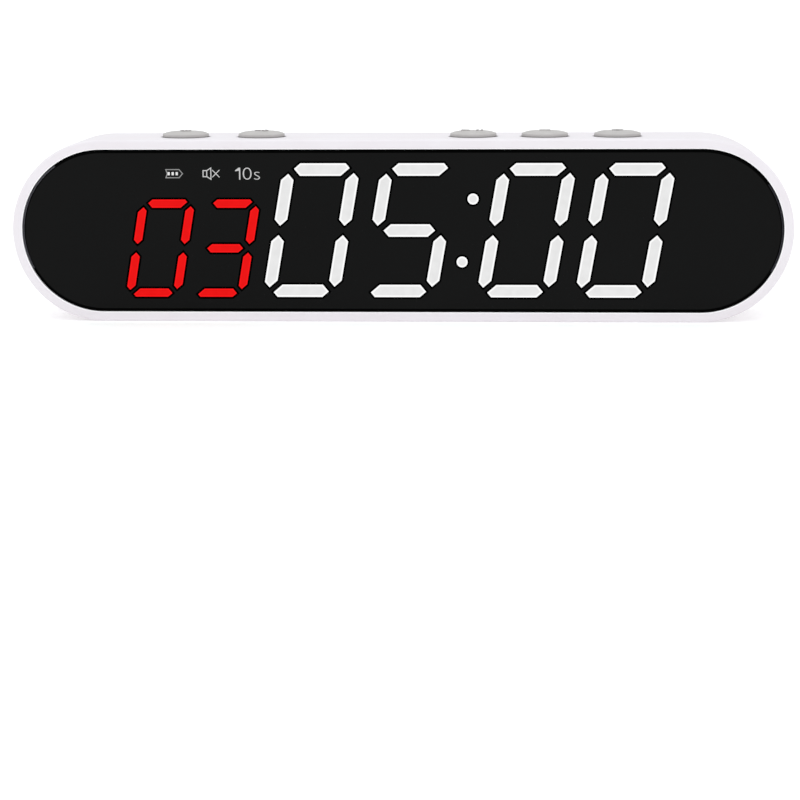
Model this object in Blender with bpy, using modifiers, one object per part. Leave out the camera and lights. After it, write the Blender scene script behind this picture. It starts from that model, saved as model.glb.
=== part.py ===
"""A gym round timer: a white stadium-shaped case with a black window, an LED display of six digits
behind it, and five round push-buttons on its flat top.

Units are metres, +Z is up, X runs along the case and the window faces -Y. The origin is at the
middle of the flat underside. Depths are measured from the front face towards the back.
"""

import math

import bmesh
import bpy
from mathutils import Matrix, Vector

# Case
LENGTH = 0.160
HEIGHT = 0.0374
DEPTH = 0.022
WALL = 0.0020
MID_Z = HEIGHT / 2
END_X = LENGTH / 2 - HEIGHT / 2      # centre of each round end
ARC_SIDES = 56                       # sides of the full circle that the two ends make
FRONT_ROUNDING = 0.0005
REAR_ROUNDING = 0.0016
SEAM = 0.0201                        # depth of the joint between housing and rear cover
GAP = 0.0003
PAST = 0.001                         # how far a cutter runs past the face that it opens

# Window and what lies behind it, as depths
LENS_LENGTH = 0.15546
LENS_HEIGHT = 0.03316
LENS_GAP = 0.00012
LENS_FRONT = 0.0001
LENS_BACK = 0.0021
LENS_CHAMFER = 0.00045
TAPE_FRONT = 0.00225
TAPE_BACK = 0.00255
FLOOR_FRONT = 0.0027
FLOOR_BACK = 0.0042
DIFFUSER_FRONT = 0.0023
DIFFUSER_BACK = 0.0026
REFLECTOR_FRONT = 0.0029
REFLECTOR_BACK = 0.0057
BOARD_FRONT = 0.0060
BOARD_BACK = 0.0072
ON_BOARD = BOARD_BACK + 0.00015      # parts that sit on the back of the board start here
DISPLAY_HALF_X = 0.0592
DISPLAY_HALF_Z = 0.0150

# Display
SLANT = math.tan(math.radians(10.0))
WHITE = {"height": 0.0276, "width": 0.0160, "bar": 0.00275, "gap": 0.00085}
RED = {"height": 0.0202, "width": 0.0116, "bar": 0.0019, "gap": 0.0006}
DISPLAY_MID_Z = MID_Z + 0.00013
WHITE_X = (-0.0181, 0.0019, 0.02575, 0.0458)
RED_X = (-0.04875, -0.03535)
RED_DROP = (WHITE["height"] - RED["height"]) / 2
COLON_X = 0.01385
COLON_Z = 0.00645
COLON_RADIUS = 0.00125
SIGNS = (                            # centre x, height above the middle, width, height
    (-0.0462, 0.0118, 0.0040, 0.0021),
    (-0.0384, 0.0118, 0.0041, 0.0030),
    (-0.0310, 0.0117, 0.0056, 0.0029),
)

# Buttons
BUTTONS = (                          # name and x: a pair on the left, three on the right
    ("power", -0.0449), ("sound", -0.0291), ("start", 0.0148), ("minus", 0.0295), ("plus", 0.0444),
)
BUTTON_DEPTH = 0.0091
BUTTON_RADIUS = 0.00492
BUTTON_HOLE_RADIUS = 0.00512
BUTTON_PROUD = 0.00075
BUTTON_CROWN = 0.00015
BUTTON_TRAVEL = 0.0006
TAB_LENGTH = 0.0128
TAB_WIDTH = 0.0050
TAB_THICKNESS = 0.0009
SWITCH_SIZE = (0.0060, 0.0036, 0.0040)
SWITCH_TOP = 0.0329
PLUNGER_RADIUS = 0.0012
PLUNGER_BOTTOM = 0.0313
PLUNGER_TOP = 0.03405

# Fastenings
COVER_BOSS_REACH = 0.0139            # from the centre of a round end
COVER_BOSS_ANGLE = math.radians(50)
COVER_BOSS_RADIUS = 0.0026
COVER_BOSS_END = 0.0184
COVER_PILOT_RADIUS = 0.0013
COVER_PILOT_START = 0.0110
SCREW_WELL_RADIUS = 0.0024
SCREW_SEAT = 0.0201                  # floor of the screw wells in the rear cover
BOARD_BOSS_X = 0.0635
BOARD_BOSS_Z = 0.0090
BOARD_BOSS_RADIUS = 0.0022
BOARD_PILOT_RADIUS = 0.00115
BOARD_PILOT_START = 0.0034
BOARD_HALF_X = 0.0665
BOARD_HALF_Z = 0.0144
RIB_HALF_X = 0.050
RIB_THICKNESS = 0.0012
RIB_START = 0.0182

# Power, sound and magnets
CELL = {"x": (-0.026, 0.026), "z": (0.0070, 0.0290), "depth": (0.0129, 0.0187)}
PAD_BACK = 0.0198
USB_X = 0.038
USB_Z = 0.0119
USB_WIDTH = 0.00894
USB_HEIGHT = 0.00316
USB_MOUTH = 0.0209
USB_INNER_END = 0.0136
CHARGE_BOARD_TOP = USB_Z - USB_HEIGHT / 2 - 0.0002
BUZZER_X = -0.037
BUZZER_Z = 0.0125
BUZZER_RADIUS = 0.0060
BUZZER_BACK = 0.0129
SOUND_HOLE_RADIUS = 0.0006
SOUND_RING_RADIUS = 0.0024
MAGNET_X = 0.053
MAGNET_RADIUS = 0.0060
MAGNET_FRONT = 0.0168
MAGNET_BACK = 0.0198
MAGNET_RING_START = 0.0176
MAGNET_RING_WALL = 0.0009
USB_OPENING = {"half_width": 0.0048, "radius": 0.0019}
LEAD_RADIUS = 0.0006
LED_CHIP = {"half_x": 0.0006, "half_z": 0.0005, "front": 0.0054}

MATERIALS = {                        # colour, roughness, metallic
    "white_abs": ((0.86, 0.85, 0.87), 0.45, 0.0),
    "black_acrylic": ((0.008, 0.008, 0.009), 0.08, 0.0),
    "grey_silicone": ((0.55, 0.54, 0.52), 0.6, 0.0),
    "black_plastic": ((0.02, 0.02, 0.02), 0.6, 0.0),
    "milky_film": ((0.8, 0.8, 0.8), 0.5, 0.0),
    "adhesive": ((0.03, 0.03, 0.03), 0.9, 0.0),
    "board_green": ((0.02, 0.12, 0.05), 0.5, 0.0),
    "chip_black": ((0.015, 0.015, 0.015), 0.5, 0.0),
    "steel": ((0.55, 0.55, 0.56), 0.3, 1.0),
    "magnet_nickel": ((0.62, 0.61, 0.58), 0.2, 1.0),
    "cell_foil": ((0.6, 0.6, 0.62), 0.35, 0.6),
    "foam": ((0.1, 0.1, 0.1), 0.95, 0.0),
    "natural_nylon": ((0.8, 0.77, 0.68), 0.5, 0.0),
    "wire_red": ((0.6, 0.02, 0.02), 0.5, 0.0),
    "wire_black": ((0.02, 0.02, 0.02), 0.5, 0.0),
}


def clear_scene():
    for obj in list(bpy.data.objects):
        bpy.data.objects.remove(obj, do_unlink=True)


def new_collection(name, helper=False):
    collection = bpy.data.collections.new(name)
    bpy.context.scene.collection.children.link(collection)
    collection.hide_render = helper
    return collection


def make_materials():
    made = {}
    for name, (colour, roughness, metallic) in MATERIALS.items():
        material = bpy.data.materials.new(name)
        material.use_nodes = True
        shader = material.node_tree.nodes["Principled BSDF"]
        shader.inputs["Base Color"].default_value = (*colour, 1.0)
        shader.inputs["Roughness"].default_value = roughness
        shader.inputs["Metallic"].default_value = metallic
        made[name] = material
    return made


def at(depth):
    """The y of a depth from the front face."""
    return depth - DEPTH / 2


def add_object(name, mesh_or_bm, collection, material=None):
    if isinstance(mesh_or_bm, bmesh.types.BMesh):
        mesh = bpy.data.meshes.new(name)
        mesh_or_bm.to_mesh(mesh)
        mesh_or_bm.free()
    else:
        mesh = mesh_or_bm
    if material is not None and not mesh.materials:
        mesh.materials.append(material)
    obj = bpy.data.objects.new(name, mesh)
    collection.objects.link(obj)
    if collection.hide_render:
        obj.hide_render = True
        obj.display_type = "WIRE"
    return obj


def finished_mesh(obj):
    """The mesh of an object with its modifiers applied."""
    graph = bpy.context.evaluated_depsgraph_get()
    return bpy.data.meshes.new_from_object(obj.evaluated_get(graph))


def box(bm, x, y, z):
    """A box between two limits on each axis."""
    size = (x[1] - x[0], y[1] - y[0], z[1] - z[0])
    centre = Vector(((x[0] + x[1]) / 2, (y[0] + y[1]) / 2, (z[0] + z[1]) / 2))
    made = bmesh.ops.create_cube(bm, size=1.0)
    bmesh.ops.scale(bm, vec=size, verts=made["verts"])
    bmesh.ops.translate(bm, vec=centre, verts=made["verts"])
    return made["verts"]


def drum(bm, x, z, radius, front, back, sides=24):
    """A cylinder along Y between two depths."""
    turn = Matrix.Rotation(math.radians(-90), 4, "X")
    place = Matrix.Translation((x, at((front + back) / 2), z))
    made = bmesh.ops.create_cone(
        bm, cap_ends=True, segments=sides, radius1=radius, radius2=radius,
        depth=back - front, matrix=place @ turn,
    )
    return made["verts"]


def post(bm, x, y, radius, low, high, sides=24):
    """A cylinder along Z between two heights."""
    made = bmesh.ops.create_cone(
        bm, cap_ends=True, segments=sides, radius1=radius, radius2=radius,
        depth=high - low, matrix=Matrix.Translation((x, y, (low + high) / 2)),
    )
    return made["verts"]


def stadium(bm, length, height, front, back, sides=ARC_SIDES):
    """A stadium prism along Y: a drum pulled apart at its middle. Its radius is to the flats, so
    the length and the height come out exact."""
    radius = height / 2 / math.cos(math.pi / sides)
    reach = (length - height) / 2
    made = bmesh.ops.create_cone(
        bm, cap_ends=True, segments=sides, radius1=radius, radius2=radius, depth=back - front,
    )
    verts = made["verts"]
    bmesh.ops.rotate(bm, matrix=Matrix.Rotation(math.pi / sides, 3, "Z"), verts=verts)
    for vert in verts:
        vert.co.x += math.copysign(reach, vert.co.x)
    bmesh.ops.rotate(bm, matrix=Matrix.Rotation(math.radians(-90), 3, "X"), verts=verts)
    bmesh.ops.translate(bm, vec=(0, at((front + back) / 2), MID_Z), verts=verts)
    return verts


def bevel_rim(bm, depth, width, segments):
    """Bevels the edges that lie in the plane at one depth."""
    rim = [e for e in bm.edges if all(abs(v.co.y - at(depth)) < 1e-6 for v in e.verts)]
    bmesh.ops.bevel(
        bm, geom=rim, offset=width, affect="EDGES", segments=segments, profile=0.5, material=-1,
    )


def cut(obj, operand, operation="DIFFERENCE"):
    modifier = obj.modifiers.new(operation.lower(), "BOOLEAN")
    modifier.operation = operation
    modifier.solver = "EXACT"
    modifier.object = operand


def cover_boss_places():
    for side in (-1, 1):
        for up in (1, -1):
            x = side * (END_X + COVER_BOSS_REACH * math.cos(COVER_BOSS_ANGLE))
            z = MID_Z + up * COVER_BOSS_REACH * math.sin(COVER_BOSS_ANGLE)
            yield x, z


def board_boss_places():
    for side in (-1, 1):
        for up in (1, -1):
            yield side * BOARD_BOSS_X, MID_Z + up * BOARD_BOSS_Z


def segment_outlines(style):
    """The seven bars of an upright digit about its centre, each a list of six (x, z) points."""
    bar = style["bar"]
    gap = style["gap"]
    half_x = (style["width"] - bar) / 2
    half_z = (style["height"] - bar) / 2
    tip = bar / 2
    across = half_x - gap
    outlines = []
    for level in (half_z, 0.0, -half_z):
        outlines.append([
            (-across, level), (-across + tip, level + tip), (across - tip, level + tip),
            (across, level), (across - tip, level - tip), (-across + tip, level - tip),
        ])
    low, high = gap, half_z - gap
    for side in (-half_x, half_x):
        for up in (1, -1):
            outlines.append([
                (side, up * high), (side + tip, up * (high - tip)), (side + tip, up * (low + tip)),
                (side, up * low), (side - tip, up * (low + tip)), (side - tip, up * (high - tip)),
            ])
    return outlines


def digit_places():
    """Each digit's style, centre x and centre z."""
    for x in WHITE_X:
        yield WHITE, x, DISPLAY_MID_Z
    for x in RED_X:
        yield RED, x, DISPLAY_MID_Z - RED_DROP


def slanted(x, z, centre_x, centre_z):
    """Leans a point of a digit to the right, about the middle of the display."""
    return centre_x + x + (centre_z + z - MID_Z) * SLANT, centre_z + z


def lit_outlines():
    """The outline of every well of the reflector, in the plane of the display."""
    outlines = []
    for style, centre_x, centre_z in digit_places():
        for outline in segment_outlines(style):
            outlines.append([slanted(x, z, centre_x, centre_z) for x, z in outline])
    for up in (1, -1):
        centre_x, centre_z = slanted(0, up * COLON_Z, COLON_X, DISPLAY_MID_Z)
        turns = [2 * math.pi * n / 16 for n in range(16)]
        outlines.append([
            (centre_x + COLON_RADIUS * math.cos(a), centre_z + COLON_RADIUS * math.sin(a))
            for a in turns
        ])
    for x, up, width, height in SIGNS:
        left, right = x - width / 2, x + width / 2
        low, high = MID_Z + up - height / 2, MID_Z + up + height / 2
        outlines.append([(left, low), (right, low), (right, high), (left, high)])
    return outlines


def flat_cutter(name, outlines, front, back, collection):
    """Closed outlines in the XZ plane, made solid between two depths."""
    curve = bpy.data.curves.new(name, "CURVE")
    curve.dimensions = "2D"
    curve.fill_mode = "BOTH"
    curve.extrude = (back - front) / 2
    for outline in outlines:
        spline = curve.splines.new("POLY")
        spline.points.add(len(outline) - 1)
        for point, (x, z) in zip(spline.points, outline):
            point.co = (x, z, 0, 1)
        spline.use_cyclic_u = True
    drawn = bpy.data.objects.new(name + "_curve", curve)
    collection.objects.link(drawn)
    bpy.context.view_layer.update()
    mesh = finished_mesh(drawn)
    bpy.data.objects.remove(drawn, do_unlink=True)
    bm = bmesh.new()
    bm.from_mesh(mesh)
    bmesh.ops.remove_doubles(bm, verts=bm.verts, dist=1e-6)
    bmesh.ops.rotate(bm, matrix=Matrix.Rotation(math.radians(90), 3, "X"), verts=bm.verts)
    bmesh.ops.translate(bm, vec=(0, at((front + back) / 2), 0), verts=bm.verts)
    bmesh.ops.recalc_face_normals(bm, faces=bm.faces)
    return add_object(name, bm, collection)


def make_front_housing(parts, cutters, materials):
    """The case: a rim round the window, a floor behind it with an opening for the display, the
    side wall with the button holes, and the bosses for the board and the rear cover."""
    bm = bmesh.new()
    stadium(bm, LENGTH, HEIGHT, 0, SEAM)
    bevel_rim(bm, 0, FRONT_ROUNDING, 3)
    housing = add_object("front_housing", bm, parts, materials["white_abs"])

    bm = bmesh.new()
    clear = 2 * LENS_GAP
    stadium(bm, LENS_LENGTH + clear, LENS_HEIGHT + clear, -PAST, FLOOR_FRONT)
    cut(housing, add_object("window_recess", bm, cutters))

    bm = bmesh.new()
    stadium(bm, LENGTH - 2 * WALL, HEIGHT - 2 * WALL, FLOOR_BACK, SEAM + PAST)
    cut(housing, add_object("case_hollow", bm, cutters))

    bm = bmesh.new()
    x = DISPLAY_HALF_X + GAP
    z = DISPLAY_HALF_Z + GAP
    box(bm, (-x, x), (at(PAST), at(FLOOR_BACK + PAST)), (MID_Z - z, MID_Z + z))
    cut(housing, add_object("display_opening", bm, cutters))

    bm = bmesh.new()
    for _, x in BUTTONS:
        low = HEIGHT - WALL - PAST
        post(bm, x, at(BUTTON_DEPTH), BUTTON_HOLE_RADIUS, low, HEIGHT + PAST, 32)
    cut(housing, add_object("button_holes", bm, cutters))

    bm = bmesh.new()
    for x, z in cover_boss_places():
        drum(bm, x, z, COVER_BOSS_RADIUS, FLOOR_BACK - GAP, COVER_BOSS_END, 16)
    for x, z in board_boss_places():
        drum(bm, x, z, BOARD_BOSS_RADIUS, FLOOR_BACK - GAP, BOARD_FRONT - GAP / 2, 16)
    cut(housing, add_object("case_bosses", bm, cutters), "UNION")

    bm = bmesh.new()
    for x, z in cover_boss_places():
        drum(bm, x, z, COVER_PILOT_RADIUS, COVER_PILOT_START, COVER_BOSS_END + PAST, 12)
    for x, z in board_boss_places():
        drum(bm, x, z, BOARD_PILOT_RADIUS, BOARD_PILOT_START, BOARD_FRONT + PAST, 12)
    cut(housing, add_object("case_screw_holes", bm, cutters))
    return housing


def make_rear_cover(parts, cutters, materials):
    """The back plate, with locating ribs, screw wells, magnet rings, sound holes and the USB
    opening."""
    bm = bmesh.new()
    plate_front = SEAM + 0.0001
    plate_inside = SEAM + 2 * GAP        # ribs and bosses reach this far into the plate
    stadium(bm, LENGTH, HEIGHT, plate_front, DEPTH)
    bevel_rim(bm, DEPTH, REAR_ROUNDING, 4)
    cover = add_object("rear_cover", bm, parts, materials["white_abs"])

    bm = bmesh.new()
    for up in (1, -1):
        edge = MID_Z + up * (HEIGHT / 2 - WALL - GAP)
        rib = sorted((edge, edge - up * RIB_THICKNESS))
        box(bm, (-RIB_HALF_X, RIB_HALF_X), (at(RIB_START), at(plate_inside)), rib)
    for x, z in cover_boss_places():
        drum(bm, x, z, COVER_BOSS_RADIUS - 0.0001, COVER_BOSS_END + 0.0002, plate_inside, 16)
    for side in (-1, 1):
        ring = MAGNET_RADIUS + 0.0002 + MAGNET_RING_WALL
        drum(bm, side * MAGNET_X, MID_Z, ring, MAGNET_RING_START, plate_inside, 24)
    cut(cover, add_object("cover_ribs", bm, cutters), "UNION")

    bm = bmesh.new()
    for x, z in cover_boss_places():
        drum(bm, x, z, COVER_PILOT_RADIUS, COVER_BOSS_END - PAST, DEPTH + PAST, 12)
    for side in (-1, 1):
        pocket = MAGNET_RADIUS + 0.0002
        start = MAGNET_RING_START - PAST
        drum(bm, side * MAGNET_X, MID_Z, pocket, start, MAGNET_BACK + 0.0002, 24)
    for x, z in sound_holes():
        drum(bm, x, z, SOUND_HOLE_RADIUS, SEAM - PAST, DEPTH + PAST, 10)
    cut(cover, add_object("cover_holes", bm, cutters))

    bm = bmesh.new()
    for x, z in cover_boss_places():
        drum(bm, x, z, SCREW_WELL_RADIUS, SCREW_SEAT, DEPTH + PAST, 20)
    radius = USB_OPENING["radius"]
    reach = USB_OPENING["half_width"] - radius
    box(
        bm, (USB_X - reach, USB_X + reach), (at(SEAM - PAST), at(DEPTH + PAST)),
        (USB_Z - radius, USB_Z + radius),
    )
    cut(cover, add_object("cover_counterbores", bm, cutters))

    bm = bmesh.new()
    for side in (-1, 1):
        drum(bm, USB_X + side * reach, USB_Z, radius, SEAM - PAST, DEPTH + PAST, 20)
    cut(cover, add_object("usb_opening_ends", bm, cutters))
    return cover


def sound_holes():
    """A hole in the middle with six round it, behind the buzzer."""
    yield BUZZER_X, BUZZER_Z
    for n in range(6):
        turn = math.radians(60 * n)
        yield BUZZER_X + SOUND_RING_RADIUS * math.cos(turn), BUZZER_Z + SOUND_RING_RADIUS * math.sin(turn)


def make_window(parts, cutters, materials):
    bm = bmesh.new()
    stadium(bm, LENS_LENGTH, LENS_HEIGHT, LENS_FRONT, LENS_BACK)
    bevel_rim(bm, LENS_FRONT, LENS_CHAMFER, 1)
    add_object("front_lens", bm, parts, materials["black_acrylic"])

    bm = bmesh.new()
    inset = 2 * GAP
    stadium(bm, LENS_LENGTH - inset, LENS_HEIGHT - inset, TAPE_FRONT, TAPE_BACK, 32)
    tape = add_object("lens_tape", bm, parts, materials["adhesive"])
    bm = bmesh.new()
    x = DISPLAY_HALF_X + 2 * GAP
    z = DISPLAY_HALF_Z + 2 * GAP
    box(bm, (-x, x), (at(TAPE_FRONT - PAST), at(TAPE_BACK + PAST)), (MID_Z - z, MID_Z + z))
    cut(tape, add_object("tape_opening", bm, cutters))

    bm = bmesh.new()
    z = (MID_Z - DISPLAY_HALF_Z, MID_Z + DISPLAY_HALF_Z)
    box(bm, (-DISPLAY_HALF_X, DISPLAY_HALF_X), (at(DIFFUSER_FRONT), at(DIFFUSER_BACK)), z)
    add_object("diffuser_sheet", bm, parts, materials["milky_film"])


def make_display(parts, cutters, materials):
    """The reflector, with a well for every bar, dot and sign, and the board with its LEDs."""
    outlines = lit_outlines()
    bm = bmesh.new()
    z = (MID_Z - DISPLAY_HALF_Z, MID_Z + DISPLAY_HALF_Z)
    box(bm, (-DISPLAY_HALF_X, DISPLAY_HALF_X), (at(REFLECTOR_FRONT), at(REFLECTOR_BACK)), z)
    reflector = add_object("reflector_block", bm, parts, materials["black_plastic"])
    wells = flat_cutter(
        "reflector_wells", outlines, REFLECTOR_FRONT - PAST, REFLECTOR_BACK + PAST, cutters,
    )
    cut(reflector, wells)

    bm = bmesh.new()
    z = (MID_Z - BOARD_HALF_Z, MID_Z + BOARD_HALF_Z)
    box(bm, (-BOARD_HALF_X, BOARD_HALF_X), (at(BOARD_FRONT), at(BOARD_BACK)), z)
    board = add_object("main_board", bm, parts, materials["board_green"])
    bm = bmesh.new()
    for outline in outlines:
        x = sum(point[0] for point in outline) / len(outline)
        z = sum(point[1] for point in outline) / len(outline)
        half_x, half_z = LED_CHIP["half_x"], LED_CHIP["half_z"]
        depth = (at(LED_CHIP["front"]), at(BOARD_FRONT + GAP))
        box(bm, (x - half_x, x + half_x), depth, (z - half_z, z + half_z))
    cut(board, add_object("led_chips", bm, cutters), "UNION")
    bm = bmesh.new()
    for x, z in board_boss_places():
        drum(bm, x, z, BOARD_PILOT_RADIUS + 0.0001, BOARD_FRONT - PAST, BOARD_BACK + PAST, 12)
    cut(board, add_object("board_holes", bm, cutters))


def make_board_parts(parts, materials):
    """The larger parts on the back of the main board."""
    blocks = {
        "mcu_chip": ((-0.0105, -0.0035), (ON_BOARD, ON_BOARD + 0.0010), (0.0100, 0.0170), "chip_black"),
        "led_driver_chip": ((0.0050, 0.0148), (ON_BOARD, ON_BOARD + 0.0015), (0.0110, 0.0164), "chip_black"),
        "battery_connector": ((0.0306, 0.0352), (ON_BOARD, 0.0108), (0.0190, 0.0258), "natural_nylon"),
        "board_link_header": ((0.0355, 0.0405), (ON_BOARD, 0.0117), (0.0068, 0.0088), "black_plastic"),
    }
    for name, (x, depth, z, finish) in blocks.items():
        bm = bmesh.new()
        box(bm, x, (at(depth[0]), at(depth[1])), z)
        add_object(name, bm, parts, materials[finish])


def make_buzzer(parts, cutters, materials):
    bm = bmesh.new()
    drum(bm, BUZZER_X, BUZZER_Z, BUZZER_RADIUS, ON_BOARD, BUZZER_BACK, 24)
    buzzer = add_object("buzzer", bm, parts, materials["black_plastic"])
    bm = bmesh.new()
    drum(bm, BUZZER_X, BUZZER_Z, 0.0010, BUZZER_BACK - 0.0012, BUZZER_BACK + PAST, 12)
    cut(buzzer, add_object("buzzer_hole", bm, cutters))


def make_power(parts, cutters, materials):
    """The battery, its pad and leads, and the charge board with its USB-C socket."""
    bm = bmesh.new()
    box(bm, CELL["x"], (at(CELL["depth"][0]), at(CELL["depth"][1])), CELL["z"])
    long_edges = [e for e in bm.edges if abs(e.verts[0].co.x - e.verts[1].co.x) > 0.01]
    bmesh.ops.bevel(
        bm, geom=long_edges, offset=0.0016, affect="EDGES", segments=3, profile=0.5, material=-1,
    )
    add_object("battery_cell", bm, parts, materials["cell_foil"])

    bm = bmesh.new()
    box(bm, (-0.022, 0.022), (at(CELL["depth"][1] + GAP), at(PAD_BACK)), (0.0100, 0.0260))
    add_object("battery_pad", bm, parts, materials["foam"])

    leads = (("battery_lead_red", 0.0236, "wire_red"), ("battery_lead_black", 0.0212, "wire_black"))
    start = Vector((CELL["x"][1] + GAP, at(0.0158), 0))
    bend = Vector((0.0329, at(0.0158), 0))
    end = Vector((0.0329, at(0.0111), 0))
    for name, z, finish in leads:
        curve = bpy.data.curves.new(name, "CURVE")
        curve.dimensions = "3D"
        curve.bevel_depth = LEAD_RADIUS
        curve.bevel_resolution = 2
        curve.use_fill_caps = True
        spline = curve.splines.new("POLY")
        steps = 9
        spline.points.add(steps)
        for n in range(steps + 1):
            t = n / steps
            place = start * (1 - t) ** 2 + bend * (2 * t * (1 - t)) + end * t ** 2
            spline.points[n].co = (place.x, place.y, z, 1)
        lead = bpy.data.objects.new(name, curve)
        curve.materials.append(materials[finish])
        parts.objects.link(lead)

    bm = bmesh.new()
    box(bm, (0.031, 0.046), (at(0.0120), at(0.0198)), (CHARGE_BOARD_TOP - 0.0010, CHARGE_BOARD_TOP))
    add_object("charge_board", bm, parts, materials["board_green"])

    shell = rounded_bar("usb_c_shell", USB_WIDTH, USB_HEIGHT, USB_INNER_END, USB_MOUTH, parts)
    shell.data.materials.append(materials["steel"])
    hollow = rounded_bar(
        "usb_c_hollow", USB_WIDTH - 0.0006, USB_HEIGHT - 0.0006, USB_INNER_END + 0.0005,
        USB_MOUTH + PAST, cutters,
    )
    cut(shell, hollow)
    bm = bmesh.new()
    box(
        bm, (USB_X - 0.00335, USB_X + 0.00335), (at(USB_INNER_END + 0.0008), at(USB_MOUTH - 0.0006)),
        (USB_Z - 0.00035, USB_Z + 0.00035),
    )
    add_object("usb_c_tongue", bm, parts, materials["chip_black"])


def rounded_bar(name, width, height, front, back, collection):
    """A bar along Y with fully round sides, the shape of a USB-C shell."""
    sides = 24
    bm = bmesh.new()
    verts = stadium(bm, width, height, front, back, sides)
    bmesh.ops.translate(bm, vec=(USB_X, 0, USB_Z - MID_Z), verts=verts)
    return add_object(name, bm, collection)


def make_magnets(parts, materials):
    for name, side in (("rear_magnet_left", -1), ("rear_magnet_right", 1)):
        bm = bmesh.new()
        drum(bm, side * MAGNET_X, MID_Z, MAGNET_RADIUS, MAGNET_FRONT, MAGNET_BACK, 32)
        add_object(name, bm, parts, materials["magnet_nickel"])


def screw_mesh(name, head_radius, head_height, shank_radius, shank_length, cutters):
    """A pan-head screw turned about Z, its head up and the underside of the head at z = 0, with
    a cross recess."""
    round_off = head_height * 0.35
    profile = [
        (0.0, head_height), (head_radius - 2 * round_off, head_height),
        (head_radius - 0.6 * round_off, head_height - 0.4 * round_off),
        (head_radius, head_height - 1.6 * round_off), (head_radius, 0.0), (shank_radius, 0.0),
        (shank_radius, -shank_length + shank_radius), (0.0, -shank_length),
    ]
    mesh = bpy.data.meshes.new(name)
    mesh.from_pydata([(x, 0, z) for x, z in profile], [(i, i + 1) for i in range(len(profile) - 1)], [])
    turned = add_object(name, mesh, cutters)
    screw = turned.modifiers.new("turn", "SCREW")
    screw.steps = 20
    screw.render_steps = 20
    screw.use_merge_vertices = True
    screw.merge_threshold = 0.00001
    bm = bmesh.new()
    arm = head_radius * 0.55
    slot = head_radius * 0.13
    floor = head_height * 0.45
    box(bm, (-arm, arm), (-slot, slot), (floor, head_height + PAST))
    cut(turned, add_object(name + "_slot_x", bm, cutters))
    bm = bmesh.new()
    box(bm, (-slot, slot), (-arm, arm), (floor, head_height + PAST))
    cut(turned, add_object(name + "_slot_y", bm, cutters))
    bpy.context.view_layer.update()
    return finished_mesh(turned)


def make_screws(parts, cutters, materials):
    """Screws point towards the front, so each is turned from +Z to +Y."""
    face_back = (math.radians(-90), 0, 0)
    cover_screw = screw_mesh("cover_screw", 0.0021, 0.0012, 0.0011, 0.0078, cutters)
    for n, (x, z) in enumerate(cover_boss_places(), 1):
        screw = add_object(f"cover_screw_{n}", cover_screw, parts, materials["steel"])
        screw.location = (x, at(SCREW_SEAT + 0.0002), z)
        screw.rotation_euler = face_back
    board_screw = screw_mesh("board_screw", 0.0019, 0.0012, 0.00095, 0.0034, cutters)
    for n, (x, z) in enumerate(board_boss_places(), 1):
        screw = add_object(f"board_screw_{n}", board_screw, parts, materials["steel"])
        screw.location = (x, at(ON_BOARD), z)
        screw.rotation_euler = face_back


def cap_mesh(cutters):
    """A button cap about its own axis, with z = 0 at the surface of the case: a crowned head, a
    bar that keeps it in, and a short stem."""
    ceiling = -WALL
    bar_top = ceiling - 0.00015
    bar_bottom = bar_top - TAB_THICKNESS
    edge = 0.00022
    profile = [
        (0.0, BUTTON_PROUD + BUTTON_CROWN),
        (BUTTON_RADIUS * 0.5, BUTTON_PROUD + BUTTON_CROWN * 0.75),
        (BUTTON_RADIUS - 0.00018 - edge, BUTTON_PROUD),
        (BUTTON_RADIUS - 0.00018 - 0.3 * edge, BUTTON_PROUD - 0.3 * edge),
        (BUTTON_RADIUS - 0.00018, BUTTON_PROUD - edge),
        (BUTTON_RADIUS, -0.0001), (BUTTON_RADIUS, bar_top - 0.0002), (0.0, bar_top - 0.0002),
    ]
    mesh = bpy.data.meshes.new("cap_head")
    mesh.from_pydata([(x, 0, z) for x, z in profile], [(i, i + 1) for i in range(len(profile) - 1)], [])
    cap = add_object("cap_head", mesh, cutters)
    screw = cap.modifiers.new("turn", "SCREW")
    screw.steps = 32
    screw.render_steps = 32
    screw.use_merge_vertices = True
    screw.merge_threshold = 0.00001
    bm = bmesh.new()
    box(bm, (-TAB_LENGTH / 2, TAB_LENGTH / 2), (-TAB_WIDTH / 2, TAB_WIDTH / 2), (bar_bottom, bar_top))
    cut(cap, add_object("cap_bar", bm, cutters), "UNION")
    bm = bmesh.new()
    post(bm, 0, 0, 0.0016, PLUNGER_TOP + 0.00015 - HEIGHT, bar_top - 0.0003, 16)
    cut(cap, add_object("cap_stem", bm, cutters), "UNION")
    bpy.context.view_layer.update()
    return finished_mesh(cap)


def make_buttons(parts, cutters, materials):
    """Each button is a cap that slides in the case, over the plunger of its own switch."""
    cap = cap_mesh(cutters)
    bm = bmesh.new()
    post(bm, 0, 0, PLUNGER_RADIUS, PLUNGER_BOTTOM - HEIGHT, PLUNGER_TOP - HEIGHT, 16)
    plunger = bpy.data.meshes.new("switch_plunger")
    bm.to_mesh(plunger)
    bm.free()
    bm = bmesh.new()
    width, depth, height = SWITCH_SIZE
    top = SWITCH_TOP - HEIGHT
    box(bm, (-width / 2, width / 2), (-depth / 2, depth / 2), (top - height, top))
    body = add_object("switch_block", bm, cutters)
    bm = bmesh.new()
    well = PLUNGER_BOTTOM - BUTTON_TRAVEL - GAP - HEIGHT
    post(bm, 0, 0, PLUNGER_RADIUS + 0.0002, well, top + PAST, 16)
    cut(body, add_object("switch_well", bm, cutters))
    bpy.context.view_layer.update()
    switch = finished_mesh(body)
    for name, x in BUTTONS:
        place = (x, at(BUTTON_DEPTH), HEIGHT)
        add_object(f"button_cap_{name}", cap, parts, materials["grey_silicone"]).location = place
        add_object(f"switch_plunger_{name}", plunger, parts, materials["black_plastic"]).location = place
        add_object(f"switch_body_{name}", switch, parts, materials["chip_black"]).location = place


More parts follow.
